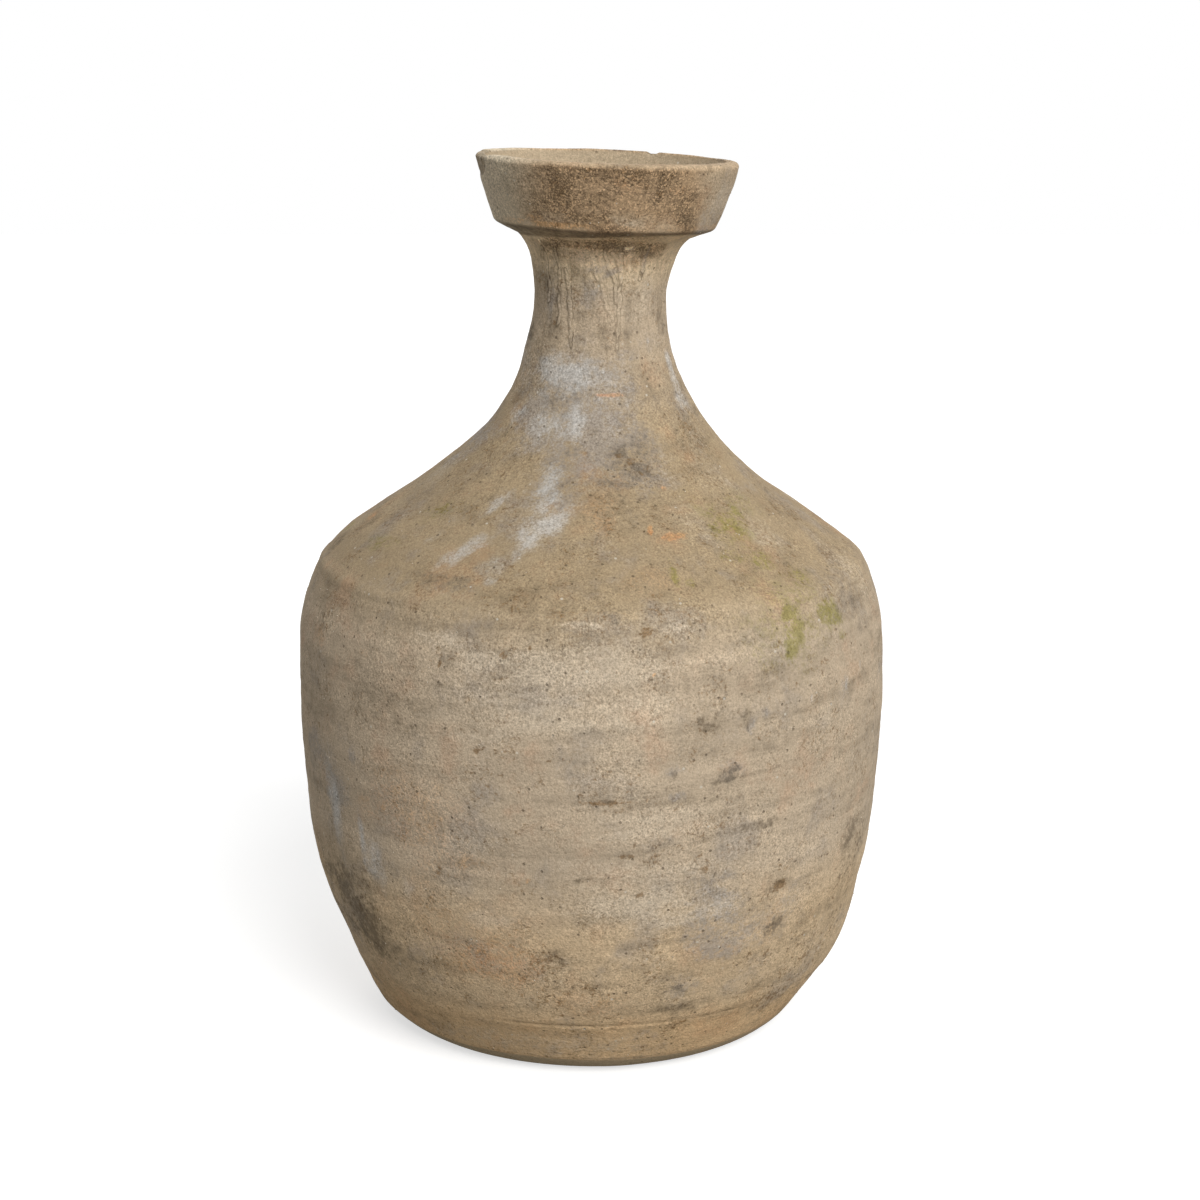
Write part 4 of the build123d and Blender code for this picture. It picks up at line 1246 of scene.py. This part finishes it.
def thrown_wall_tree():
    """A tree that spins a section's outline round, leans it, and weathers its outside."""
    tree = bpy.data.node_groups.new("thrown_wall", "GeometryNodeTree")
    wire = Wiring(tree)
    given = wire.given(WALL_INPUTS)
    profile, columns = given["Profile"], given["Columns"]
    rows = wire.add("GeometryNodeAttributeDomainSize", profile, component="MESH")
    tall = rows + given["Closed"]
    grid = wire.add("GeometryNodeMeshGrid", 1.0, 1.0, columns + 1.0, tall)
    index = wire.add("GeometryNodeInputIndex")
    column = wire.math("FLOOR", (index + 0.5) / tall)
    row = wire.math("MODULO", index - column * tall, rows)

    def of_profile(value, kind="FLOAT"):
        return wire.sample(profile, value, row, kind)

    turn = (column / columns - 0.5) * FULL_TURN
    across = wire.join(wire.math("SINE", turn), -wire.math("COSINE", turn))
    radius, _, height = wire.parts(of_profile(wire.add("GeometryNodeInputPosition"), "FLOAT_VECTOR"))
    over, _, up = wire.parts(of_profile(wire.attribute("out", "FLOAT_VECTOR"), "FLOAT_VECTOR"))
    facing = across * over + wire.join(0.0, 0.0, up)
    wall = wire.store(grid, "facing", facing, "FLOAT_VECTOR")
    hub = of_profile(wire.attribute("hub", "FLOAT_VECTOR"), "FLOAT_VECTOR")
    wall = wire.store(wall, "hub", hub, "FLOAT_VECTOR")
    for name in ("lean", "skin"):
        wall = wire.store(wall, name, of_profile(wire.attribute(name)))
    wall = wire.store(wall, "upright", height)
    wall = wire.add("GeometryNodeSetPosition", wall, None, across * radius + wire.join(0.0, 0.0, height))
    wall = wire.add("GeometryNodeMergeByDistance", wall, None, MERGE_DISTANCE)
    x, y, z = wire.parts(wire.add("GeometryNodeInputPosition"))
    wall = wire.store(wall, "turn", wire.math("DEGREES", wire.math("ARCTAN2", x, -y)))
    wall = wire.store(wall, "radius", wire.reach(x, y))
    for kind in MARK_KINDS:
        wall = wire.store(wall, kind, 0.0)
    wall = add_marks(wire, wall, given["Marks"])

    stands_out, fine, drip = relief(wire, given)
    wall = wire.store(wall, "hollow", -fine)
    wall = wire.store(wall, "drip", drip)
    moved = wire.join(x, y) + wire.attribute("facing", "FLOAT_VECTOR") * stands_out
    leant = wire.named(
        "ShaderNodeVectorRotate", {"Axis": (0, 1, 0), "Vector": moved, "Angle": wire.attribute("lean")}
    )
    place = wire.attribute("hub", "FLOAT_VECTOR") + leant["Vector"]
    wall = wire.add("GeometryNodeSetPosition", wall, None, kept_inside(wire, place, given["Widest"]))
    for name in ("facing", "hub", "lean", "turn", "radius", "pit", "swell"):
        wall = wire.add("GeometryNodeRemoveAttribute", wall, name)
    wall = wire.add("GeometryNodeSetShadeSmooth", wall, None, True, domain="FACE")
    crease = wire.math("GREATER_THAN", wire.add("GeometryNodeInputMeshEdgeAngle"), CREASE_ANGLE)
    wall = wire.add("GeometryNodeSetShadeSmooth", wall, crease, False, domain="EDGE")
    wall = wire.add("GeometryNodeRealizeInstances", wall)
    wire.result(wire.add("GeometryNodeSetMaterial", wall, None, given["Clay"]))
    return tree


def grits_tree():
    """A tree that presses small hard grains into the outside of the walls."""
    tree = bpy.data.node_groups.new("pressed_grits", "GeometryNodeTree")
    wire = Wiring(tree)
    given = wire.given(GRITS_INPUTS)
    seed = given["Seed"]
    walls = wire.add("GeometryNodeRealizeInstances", wire.add("GeometryNodeCollectionInfo", given["Walls"]))
    spread = wire.named("GeometryNodeDistributePointsOnFaces", {
        "Mesh": walls,
        "Selection": wire.math("GREATER_THAN", wire.attribute("skin"), OUTSIDE_SKIN),
        "Density": given["Per square metre"],
        "Seed": seed,
    })
    chance = wire.add(
        "FunctionNodeRandomValue", given["Smallest"], given["Largest"], None, seed, data_type="FLOAT"
    )
    scattered = wire.store(spread["Points"], "size", chance * MM)
    near = wire.named("GeometryNodeProximity", {"Geometry": walls}, target_element="FACES")
    placed = wire.add("GeometryNodeSetPosition", given["Places"], None, near["Position"])
    placed = wire.add("GeometryNodeMeshToPoints", placed)
    both = wire.new("GeometryNodeJoinGeometry")
    for points in (scattered, placed):
        wire.fill(both.inputs["Geometry"], points)
    grain = wire.add("GeometryNodeMeshIcoSphere", 1.0, 1)
    turned = wire.add(
        "FunctionNodeRandomValue", (0, 0, 0), GRAIN_TURNS, None, seed, data_type="FLOAT_VECTOR"
    )
    size = wire.join(*GRAIN_SHAPE) * wire.attribute("size")
    stones = wire.add(
        "GeometryNodeInstanceOnPoints", Value(wire, both.outputs[0]), None, grain, None, None, turned, size
    )
    stones = wire.add("GeometryNodeRealizeInstances", stones)
    inside = kept_inside(wire, wire.add("GeometryNodeInputPosition"), given["Widest"])
    stones = wire.add("GeometryNodeSetPosition", stones, None, inside)
    stones = wire.add("GeometryNodeSetShadeSmooth", stones, None, True, domain="FACE")
    wire.result(wire.add("GeometryNodeSetMaterial", stones, None, given["Stone"]))
    return tree


def run_tree(piece, tree, **values):
    """Runs a tree on a piece with its inputs set by name, and keeps the result as a plain mesh."""
    modifier = piece.modifiers.new(tree.name, "NODES")
    modifier.node_group = tree
    names = {
        item.name.lower().replace(" ", "_"): item.identifier
        for item in tree.interface.items_tree
        if item.item_type == "SOCKET" and item.in_out == "INPUT"
    }
    for name, value in values.items():
        modifier[names[name]] = value
    graph = bpy.context.evaluated_depsgraph_get()
    made = bpy.data.meshes.new_from_object(
        piece.evaluated_get(graph), preserve_all_data_layers=True, depsgraph=graph
    )
    if not made.polygons:
        raise RuntimeError(f"{tree.name} made no faces for {piece.name}")
    piece.modifiers.remove(modifier)
    spent = piece.data
    piece.data = made
    bpy.data.meshes.remove(spent)
    made.name = piece.name


def discard(thing):
    """Removes a helper object and its mesh."""
    mesh = thing.data
    bpy.data.objects.remove(thing)
    bpy.data.meshes.remove(mesh)


def new_material(name):
    """An empty material, and what adds nodes to it."""
    material = bpy.data.materials.new(name)
    material.use_nodes = True
    material.node_tree.nodes.clear()
    return material, Wiring(material.node_tree)


def finish_clay(wire, tint, roughness, tooth=None, bump_strength=None):
    """Ends a clay's material in a matt shader, with the given unevenness as bump."""
    inputs = {"Base Color": tint, "Roughness": roughness, "Specular IOR Level": CLAY_SPECULAR}
    if tooth is not None:
        bump = {"Distance": MM, "Strength": bump_strength, "Height": tooth}
        inputs["Normal"] = wire.named("ShaderNodeBump", bump)["Normal"]
    shader = wire.named("ShaderNodeBsdfPrincipled", inputs)
    wire.named("ShaderNodeOutputMaterial", {"Surface": shader["BSDF"]})


def height_colours(wire, height, colours):
    """The clay's own colour from the foot to the lip."""
    node = wire.new("ShaderNodeValToRGB")
    ramp = node.color_ramp
    ramp.elements.remove(ramp.elements[0])
    for index, (reached, name) in enumerate(HEIGHT_COLOURS):
        element = ramp.elements[0] if index == 0 else ramp.elements.new(reached / RAMP_TOP)
        element.position = reached / RAMP_TOP
        element.color = (*getattr(colours, name), 1)
    wire.fill(node.inputs["Fac"], height / RAMP_TOP)
    return Value(wire, node.outputs["Color"])


def toned(wire, tint, amount, depth):
    """A colour made lighter or darker by an amount about zero."""
    return wire.vector("SCALE", tint, amount * depth + 1.0)


class Surface:
    """One clay's tint, built up in layers from noises and from the attributes of the wall."""

    def __init__(self, wire, colours):
        self.wire = wire
        self.colours = colours
        self.here = wire.named("ShaderNodeTexCoord")["Object"]
        self.x, y, z = wire.parts(self.here)
        self.aside = self.here + ASIDE_SHIFT
        self.beyond = self.here + BEYOND_SHIFT
        self.slanted = wire.join(self.x, y, z - self.x * STREAK_SLANT)
        for name, (place, scale, detail, roughness) in NOISES.items():
            read_at = getattr(self, place)
            if isinstance(scale, tuple):
                read_at, scale = read_at * scale, 1.0
            setattr(self, name, wire.swing(read_at, scale, detail, roughness))
        for name, shares in BLENDS.items():
            shared = [getattr(self, noise) * share for noise, share in shares.items()]
            setattr(self, name, sum(shared[1:], shared[0]))
        self.height = wire.painted("upright")
        self.skin = wire.painted("skin")
        self.body = self.ease("body", self.height)
        self.low = self.ease("low", self.height)
        self.on_neck = self.ease("neck foot", self.height) * self.ease("neck top", self.height)

    def ease(self, name, driver):
        """A change by its name, as a value drives it."""
        return self.wire.between(driver, *EASES[name])

    def lay(self, name, colour, where):
        """Lays a colour over the tint, by its layer's share where it is full."""
        self.tint = self.wire.mix(where * LAYERS[name], self.tint, colour)

    def tone(self, name, amount):
        """Makes the tint lighter or darker, by its layer's depth."""
        self.tint = toned(self.wire, self.tint, amount, LAYERS[name])

    def shade(self, colour, share):
        """A colour of the clay made lighter or darker throughout."""
        return self.wire.vector("SCALE", colour, share)

    def ground(self):
        """The clay's own colour, with grey and warm films."""
        wobble = (self.patches + self.warmth) * WOBBLE * self.ease("wobble", self.height)
        self.tint = height_colours(self.wire, self.height + wobble, self.colours)
        self.tone("patches", self.patches)
        self.tone("bands", self.bands * self.body)
        self.lay("grey film", self.colours.haze, self.ease("grey film", self.film))
        self.lay("warm film", self.colours.rust, self.ease("warm film", self.film))

    def settled_dirt(self):
        """Dirt in streaks, runs, nets, pores and threads."""
        wire, colours = self.wire, self.colours
        settled = self.streaks * self.ease("streaks on body", self.body) + self.dusting
        settled = settled + self.mottle * self.ease("mottle on body", self.body)
        settled = settled + self.runs * self.on_neck * RUNS_SHARE
        self.lay("settled", colours.soot, self.ease("settled", settled))
        self.tone("washed", self.ease("washed", settled))
        tangled = wire.math("MAXIMUM", self.low * LOW_NET_SHARE, self.ease("warm net", self.warmth))
        self.lay("net", colours.soot, self.ease("net", abs(self.net)) * tangled)

        dirty = self.low * LOW_PORES + self.body * BODY_PORES + PORES
        self.tint = wire.mix(self.ease("pores", self.clumps) * dirty, self.tint, colours.brown)
        bent = self.here + wire.join(self.mottle, self.patches, self.warmth) * THREAD_BEND
        thread = self.ease("thread", abs(wire.swing(bent, *THREAD_NOISE)))
        thread = thread * self.ease("thread gaps", self.mottle + self.pores)
        self.lay("threads", colours.brown, thread)
        self.tone("hairs", self.hairs * self.body)
        self.tone("rills", self.rills * self.on_neck)

    def kiln_marks(self):
        """Grey on the left of the cup, partly painted light, and a coarse cracked skin on the cup; a
        painted shadow under its ledge, a painted highlight along the ledge's lower edge, and painted light
        with tan specks on the foot's bottom edge.
        """
        wire, colours, height, x = self.wire, self.colours, self.height, self.x
        # Partly painted light: a light grey laid on the left of the cup, where the key light leaves it in
        # shade
        ash = self.ease("ash", x) * self.ease("cup", height)
        self.tint = wire.mix(ash, self.tint, colours.ash)
        fired = self.kiln + wire.painted("soot") * SOOT_FIRED + self.ease("fired height", height)
        outside = self.ease("coarse foot", height) * self.ease("coarse top", height) * self.skin
        side = self.ease("coarse left", x) * self.ease("coarse right", x)
        coarse = self.ease("coarse", fired) * (outside * side)
        nudge = wire.join(self.pores, self.speckle, self.blotches) * WORM_BEND
        worms = abs(wire.swing(self.here + nudge, *WORM_NOISE))
        crack = self.ease("crack", worms) * self.ease("crack gaps", self.pores + self.mottle)
        self.cracked = crack * coarse
        self.lay("coarse", colours.tan, coarse)
        self.tone("crests", self.ease("crest", worms) * coarse)
        self.lay("cracks", self.shade(colours.soot, CRACK_SHADE), self.cracked)

        # Painted shadow: soot colour laid in a band under the cup's ledge, thinning to the right, where the
        # ledge's own shade falls
        painted_ledge_shadow = self.ease("painted ledge shadow height", x) + self.patches * PAINTED_LEDGE_SHADOW_WANDER
        painted_ledge_shadow = self.ease("painted_ledge_shadow", height - painted_ledge_shadow) * self.ease("painted ledge shadow top", height)
        painted_ledge_shadow = painted_ledge_shadow * (self.fray * PAINTED_LEDGE_SHADOW_FRAY + PAINTED_LEDGE_SHADOW_SHARE)
        self.tint = wire.mix(wire.math("MINIMUM", painted_ledge_shadow, PAINTED_LEDGE_SHADOW_MOST), self.tint, colours.soot)
        # Painted highlight: a lighter tan line, broken by noise, along the lower edge of the cup's ledge,
        # where it catches light
        corner = self.ease("corner", abs(height - LEDGE_HIGHLIGHT_HEIGHT))
        corner = corner * self.ease("corner gaps", self.fray + self.warmth)
        corner = corner * self.ease("corner right", x) * self.ease("corner left", x)
        self.lay("corner", self.shade(colours.tan, LEDGE_HIGHLIGHT_SHADE), corner)
        # Painted light with some worn tan specks: a light tan laid on the bottom edge of the foot to lift
        # the shade there
        sole = self.ease("sole", height) * self.ease("sole gaps", self.fray)
        self.lay("sole", self.shade(colours.tan, SOLE_PAINTED_LIGHT_SHADE), sole)

    def marked(self, kind):
        """A mark's strength, with its edge and its middle broken by a finer noise."""
        noise, start, full, torn = MARK_WEAR[kind]
        fray = getattr(self, noise)
        strength = self.wire.painted(kind)
        near = self.wire.math("MINIMUM", strength * MARK_NEARNESS, 1.0)
        broken = strength * (fray * MARK_FRAY + 1.0) + fray * near * torn
        return self.wire.between(broken, start, full)

    def marks(self):
        """The marks, each kind in its colour, and the drips of slip on the neck."""
        wire, colours = self.wire, self.colours
        tints = {
            "brown": wire.mix(self.ease("dirt", self.blotches), colours.brown, colours.soot),
            "rust": wire.mix(self.ease("stain", self.blotches), colours.rust, colours.tan),
            "moss": toned(wire, colours.moss, self.ease("tufts", self.tufts), MOSS_SHADE),
        }
        for kind in MARK_WEAR:
            strength = self.marked(kind)
            if kind == "soot":
                strength = strength * self.ease("soot on cup", self.height)
            self.lay(kind, tints.get(kind, getattr(colours, kind)), strength)

        drip = wire.painted("drip")
        shore = self.ease("shore", drip) * self.ease("shore end", drip)
        self.lay("shore", colours.soot, shore * self.ease("shore gaps", self.fray + self.warmth))
        self.lay("drip", colours.pale, self.ease("drip", drip))
        # Partly painted light: where the pale marks are strongest, above all at the chips under the cup's
        # ledge, the collar's clay is laid brightened past any clay, to show in the ledge's shadow
        bare_and_painted_light = self.ease("bare_and_painted_light", wire.painted("pale"))
        self.lay("bare_and_painted_light", self.shade(colours.collar_painted_light, BARE_PAINTED_LIGHT_SHADE), bare_and_painted_light)

    def broken_lip(self):
        """The scored flake off the lip, with a pale rim."""
        chip = self.wire.painted("chip")
        dirt = self.wire.mix(self.ease("chip dirt", self.blotches), self.colours.soot, self.colours.brown)
        self.lay("chip", dirt, self.ease("chip", chip) * self.ease("scoring", self.scoring))
        rim = self.ease("chip rim", chip) * self.ease("chip rim end", chip)
        self.lay("chip rim", self.colours.pale, rim)

    def relief_tones(self):
        """The tint darkened towards soot in the hollows of the relief, and paler where the wall stands
        proud.
        """
        hollow = self.wire.painted("hollow")
        self.lay("hollow", self.colours.soot, self.ease("hollow", hollow))
        self.tone("proud", self.ease("proud", hollow))

    def lining(self):
        """The unwashed inside."""
        wire, colours = self.wire, self.colours
        lining = wire.mix(self.ease("bowl", self.height), colours.inside, colours.pale)
        lining = toned(wire, lining, self.patches + self.blotches, LAYERS["lining"])
        lining = wire.mix(self.ease("lining streaks", self.streaks), lining, colours.brown)
        self.tint = wire.mix(self.ease("inner", self.skin), self.tint, lining)

    def sand_grains(self, coarseness):
        """Light and dark sand, with a few dark and a few pale dots."""
        rough = self.ease("rough patches", self.mottle + self.patches)
        rough = self.ease("smooth foot", self.height) * rough * self.ease("rough outside", self.skin)
        self.tone("speckle", self.speckle * rough * coarseness)
        self.tone("sand", self.sand * rough * coarseness)
        cells = self.wire.named("ShaderNodeTexVoronoi", {"Vector": self.here, "Scale": DOT_SCALE})
        dark, pale, _ = self.wire.parts(cells["Color"])
        dot = self.ease("dot", cells["Distance"])
        self.dark_dot = dot * self.ease("dark dot", dark)
        self.lay("dark dot", self.colours.soot, self.dark_dot)
        self.lay("pale dot", self.colours.grit, dot * self.ease("pale dot", pale))


def weathered_clay(name, colours, coarseness):
    """Sandy unglazed clay with streaks, stains, bloom and moss where the wall's attributes put them."""
    material, wire = new_material(name)
    surface = Surface(wire, colours)
    surface.ground()
    surface.settled_dirt()
    surface.kiln_marks()
    surface.marks()
    surface.broken_lip()
    surface.relief_tones()
    surface.lining()
    surface.sand_grains(coarseness)
    roughness = wire.math("MINIMUM", surface.blotches * ROUGHNESS_SWING + CLAY_ROUGHNESS, 1.0)
    tooth = surface.tooth - surface.dark_dot * DOT_DEPTH - surface.cracked * CRACK_DEPTH
    finish_clay(wire, surface.tint, roughness, tooth, CLAY_BUMP)
    return material


def lime_stone(name, colours):
    """Chalky grain, some grains a little yellower than others."""
    material, wire = new_material(name)
    place = wire.named("ShaderNodeTexCoord")["Object"]
    tint = wire.mix(wire.noise(place, STONE_SCALE), colours.grit, colours.belly)
    tint = toned(wire, tint, wire.swing(place, CHALK_SCALE), CHALK_DEPTH)
    finish_clay(wire, tint, CLAY_ROUGHNESS)
    return material


def unwashed_clay(name, colours):
    """Clay of the corner coil, wiped smooth with a wet finger."""
    material, wire = new_material(name)
    place = wire.named("ShaderNodeTexCoord")["Object"]
    patches = wire.between(wire.swing(place, *COIL_NOISE), *COIL_PATCHES)
    tint = wire.mix(patches, colours.inside, colours.lower)
    tint = toned(wire, tint, wire.swing(place, COIL_SPECKLE_SCALE), COIL_SPECKLE_DEPTH)
    roughness = wire.between(wire.noise(place, COIL_WIPE_SCALE), *COIL_ROUGHNESS)
    finish_clay(wire, tint, roughness, wire.swing(place, COIL_TOOTH_SCALE) * COIL_TOOTH, COIL_BUMP)
    return material


CLAYS = {}


def clay_for(slot):
    """The material of one slot, made the first time it is asked for."""
    if slot not in CLAYS:
        coarseness = CUP_COARSENESS if slot == "rim_clay" else 1.0
        CLAYS[slot] = weathered_clay(slot, bpy.context.scene.jar_colours, coarseness)
    return CLAYS[slot]


def throw(section):
    """Makes one section's wall and puts it in its solid's place."""
    scene = bpy.context.scene
    sizes = scene.jar_sizes
    outline = Outline(sizes)
    slot = dict(SECTIONS)[section]
    piece, closed, lowest, highest = profile_object(outline, section)
    marks = marks_object(lowest, highest)
    drips = drips_object(outline)
    tree = bpy.data.node_groups.get("thrown_wall") or thrown_wall_tree()
    run_tree(
        piece,
        tree,
        columns=sizes.columns,
        closed=closed,
        marks=marks,
        drips=drips,
        ring_depth=sizes.ring_depth / 2,
        lump_depth=sizes.lump_depth / 2,
        grain_depth=sizes.grain_depth,
        pit_depth=sizes.pit_depth,
        groove_depth=sizes.groove_depth,
        groove_height=sizes.foot_top,
        ridge_height=sizes.belly_top + RIDGE_OVER_JOINT,
        drip_height=sizes.drip_height if section == "neck" else 0.0,
        widest=sizes.belly_radius - WALL_CLEARANCE,
        clay=clay_for(slot),
    )
    discard(marks)
    discard(drips)
    scene.collection.objects.unlink(piece)
    thrown_walls().objects.link(piece)
    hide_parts(section)
    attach(piece, "root")


def thrown_walls():
    """The collection that the walls are kept in."""
    kept = bpy.data.collections.get("thrown_walls")
    if kept is None:
        kept = bpy.data.collections.new("thrown_walls")
        bpy.context.scene.collection.children.link(kept)
    return kept


class ThrowsWalls:
    """What the operators that throw walls share."""

    bl_options = {"REGISTER", "UNDO"}
    sections = ()

    def execute(self, context):
        for section in self.sections:
            throw(section)
        return {"FINISHED"}


class JAR_OT_throw_foot(ThrowsWalls, bpy.types.Operator):
    """Makes the base disc and the foot band over it"""

    bl_idname = "jar.throw_foot"
    bl_label = "Throw the Foot"
    sections = ("base_disc", "foot_band")


class JAR_OT_throw_body(ThrowsWalls, bpy.types.Operator):
    """Makes the lower wall and the belly"""

    bl_idname = "jar.throw_body"
    bl_label = "Throw the Body"
    sections = ("lower_wall", "belly_wall")


class JAR_OT_throw_shoulder(ThrowsWalls, bpy.types.Operator):
    """Makes the shoulder, which turns from the upright belly to the leaning neck"""

    bl_idname = "jar.throw_shoulder"
    bl_label = "Throw the Shoulder"
    sections = ("shoulder",)


class JAR_OT_throw_neck(ThrowsWalls, bpy.types.Operator):
    """Makes the waisted neck with the slip that ran down it"""

    bl_idname = "jar.throw_neck"
    bl_label = "Throw the Neck"
    sections = ("neck",)


class JAR_OT_throw_cup(ThrowsWalls, bpy.types.Operator):
    """Makes the cup at the mouth, with its broken lip"""

    bl_idname = "jar.throw_cup"
    bl_label = "Throw the Cup"
    sections = ("rim_cup",)


class JAR_OT_dress_coil(bpy.types.Operator):
    """Gives the coil in the corner of the base its clay"""

    bl_idname = "jar.dress_coil"
    bl_label = "Dress the Corner Coil"
    bl_options = {"REGISTER", "UNDO"}

    def execute(self, context):
        coil = frame["nodes"]["base_corner_coil"]
        material = unwashed_clay("inner_clay", context.scene.jar_colours)
        coil.data.materials.clear()
        coil.data.materials.append(material)
        return {"FINISHED"}


class JAR_OT_press_grits(bpy.types.Operator):
    """Presses lime grains into the outside of the walls"""

    bl_idname = "jar.press_grits"
    bl_label = "Press In the Grits"
    bl_options = {"REGISTER", "UNDO"}

    def execute(self, context):
        sizes = context.scene.jar_sizes
        outline = Outline(sizes)
        places, halves = [], []
        for turn, height, size in GRAINS:
            upright = outline.on_wall(turn, height * MM)
            lean = outline.turned(height * MM)
            leant = Vector((upright.x * math.cos(lean), upright.y, -upright.x * math.sin(lean)))
            places.append(outline.hub(height * MM) + leant)
            halves.append(size * MM / 2)
        piece = in_scene("lime_grits", points_mesh("lime_grits", places, size=halves))
        run_tree(
            piece,
            grits_tree(),
            walls=thrown_walls(),
            per_square_metre=GRITS_PER_SQUARE_METRE,
            smallest=SMALLEST_GRIT,
            largest=LARGEST_GRIT,
            seed=GRITS_SEED,
            widest=sizes.belly_radius - GRAIN_CLEARANCE,
            stone=lime_stone("lime_grit", context.scene.jar_colours),
        )
        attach(piece, "root")
        return {"FINISHED"}


class JAR_OT_set_stage(bpy.types.Operator):
    """Sets the pale floor, the soft lights and the camera"""

    bl_idname = "jar.set_stage"
    bl_label = "Set the Stage"
    bl_options = {"REGISTER", "UNDO"}

    def execute(self, context):
        studio = context.scene.jar_studio
        lay_floor()
        light_room(context.scene, studio.ambient)
        for name, source, width in LIGHTS:
            shine(name, source, getattr(studio, name), width)
        camera = bpy.data.cameras.new("camera")
        camera.lens = studio.lens
        camera.sensor_width = SENSOR_WIDTH
        camera.clip_end = CLIP_END
        holder = bpy.data.objects.new("camera", camera)
        holder.location = (studio.offset, -studio.distance, studio.height)
        holder.rotation_euler = (math.pi / 2 - studio.tilt, 0, 0)
        context.scene.collection.objects.link(holder)
        context.scene.camera = holder
        context.scene.view_settings.view_transform = "Standard"
        return {"FINISHED"}


def shine(name, source, energy, width):
    """A soft distant light that comes from a direction."""
    light = bpy.data.lights.new(name, "SUN")
    light.energy = energy
    light.angle = math.radians(width)
    holder = bpy.data.objects.new(name, light)
    holder.rotation_euler = Vector(source).to_track_quat("Z", "Y").to_euler()
    bpy.context.scene.collection.objects.link(holder)


def seen_directly(wire):
    """Light Path's answer for what the camera sees, also in a mirror or through glass."""
    path = wire.named("ShaderNodeLightPath")
    seen = wire.math("MAXIMUM", path["Is Camera Ray"], path["Is Glossy Ray"])
    return wire.math("MAXIMUM", seen, path["Is Transmission Ray"])


def light_room(scene, ambient):
    """A dim even room that shows as white."""
    world = bpy.data.worlds.new("room")
    world.use_nodes = True
    world.node_tree.nodes.clear()
    wire = Wiring(world.node_tree)
    brightness = wire.between(seen_directly(wire), 0.0, 1.0, ambient, 1.0, "LINEAR")
    room = wire.named("ShaderNodeBackground", {"Color": (1, 1, 1, 1), "Strength": brightness})
    wire.named("ShaderNodeOutputWorld", {"Surface": room["Background"]})
    scene.world = world


def lay_floor():
    """A wide pale floor that shows as white but for the jar's own soft shadow."""
    mesh = bpy.data.meshes.new("floor")
    edges = (-FLOOR_HALF, FLOOR_HALF)
    mesh.from_pydata([(x, y, 0) for y in edges for x in edges], [], [(0, 1, 3, 2)])
    floor = in_scene("floor", mesh)
    material, wire = new_material("pale_floor")
    seen = seen_directly(wire)
    paper = wire.mix(wire.noise(wire.named("ShaderNodeTexCoord")["Object"], FLOOR_SCALE), *FLOOR_TINTS)
    lit = wire.named("ShaderNodeBsdfDiffuse", {"Color": wire.mix(seen, FLOOR_UNSEEN, paper)})
    glow = wire.named("ShaderNodeEmission", {"Strength": seen * FLOOR_GLOW})
    both = wire.add("ShaderNodeAddShader", lit["BSDF"], glow["Emission"])
    wire.named("ShaderNodeOutputMaterial", {"Surface": both})
    floor.data.materials.append(material)


class JAR_PT_panel(bpy.types.Panel):
    """Lists the steps that make the jar, with its sizes and colours"""

    bl_idname = "JAR_PT_panel"
    bl_label = "Water Jar"
    bl_space_type = "VIEW_3D"
    bl_region_type = "UI"
    bl_category = "Water Jar"

    def draw(self, context):
        for operator in OPERATORS:
            self.layout.operator(operator.bl_idname)
        for group in (context.scene.jar_sizes, context.scene.jar_colours, context.scene.jar_studio):
            box = self.layout.box()
            for name in group.__annotations__:
                box.prop(group, name)


OPERATORS = (
    JAR_OT_throw_foot,
    JAR_OT_throw_body,
    JAR_OT_throw_shoulder,
    JAR_OT_throw_neck,
    JAR_OT_throw_cup,
    JAR_OT_dress_coil,
    JAR_OT_press_grits,
    JAR_OT_set_stage,
)
CLASSES = (JarSizes, JarColours, JarStudio, *OPERATORS, JAR_PT_panel)


def register():
    for each in CLASSES:
        bpy.utils.register_class(each)
    bpy.types.Scene.jar_sizes = bpy.props.PointerProperty(type=JarSizes)
    bpy.types.Scene.jar_colours = bpy.props.PointerProperty(type=JarColours)
    bpy.types.Scene.jar_studio = bpy.props.PointerProperty(type=JarStudio)


def unregister():
    del bpy.types.Scene.jar_studio
    del bpy.types.Scene.jar_colours
    del bpy.types.Scene.jar_sizes
    for each in reversed(CLASSES):
        bpy.utils.unregister_class(each)


def main():
    register()
    bpy.ops.jar.throw_foot()
    bpy.ops.jar.throw_body()
    bpy.ops.jar.throw_shoulder()
    bpy.ops.jar.throw_neck()
    bpy.ops.jar.throw_cup()
    bpy.ops.jar.dress_coil()
    bpy.ops.jar.press_grits()
    bpy.ops.jar.set_stage()


if __name__ == "__main__":
    main()
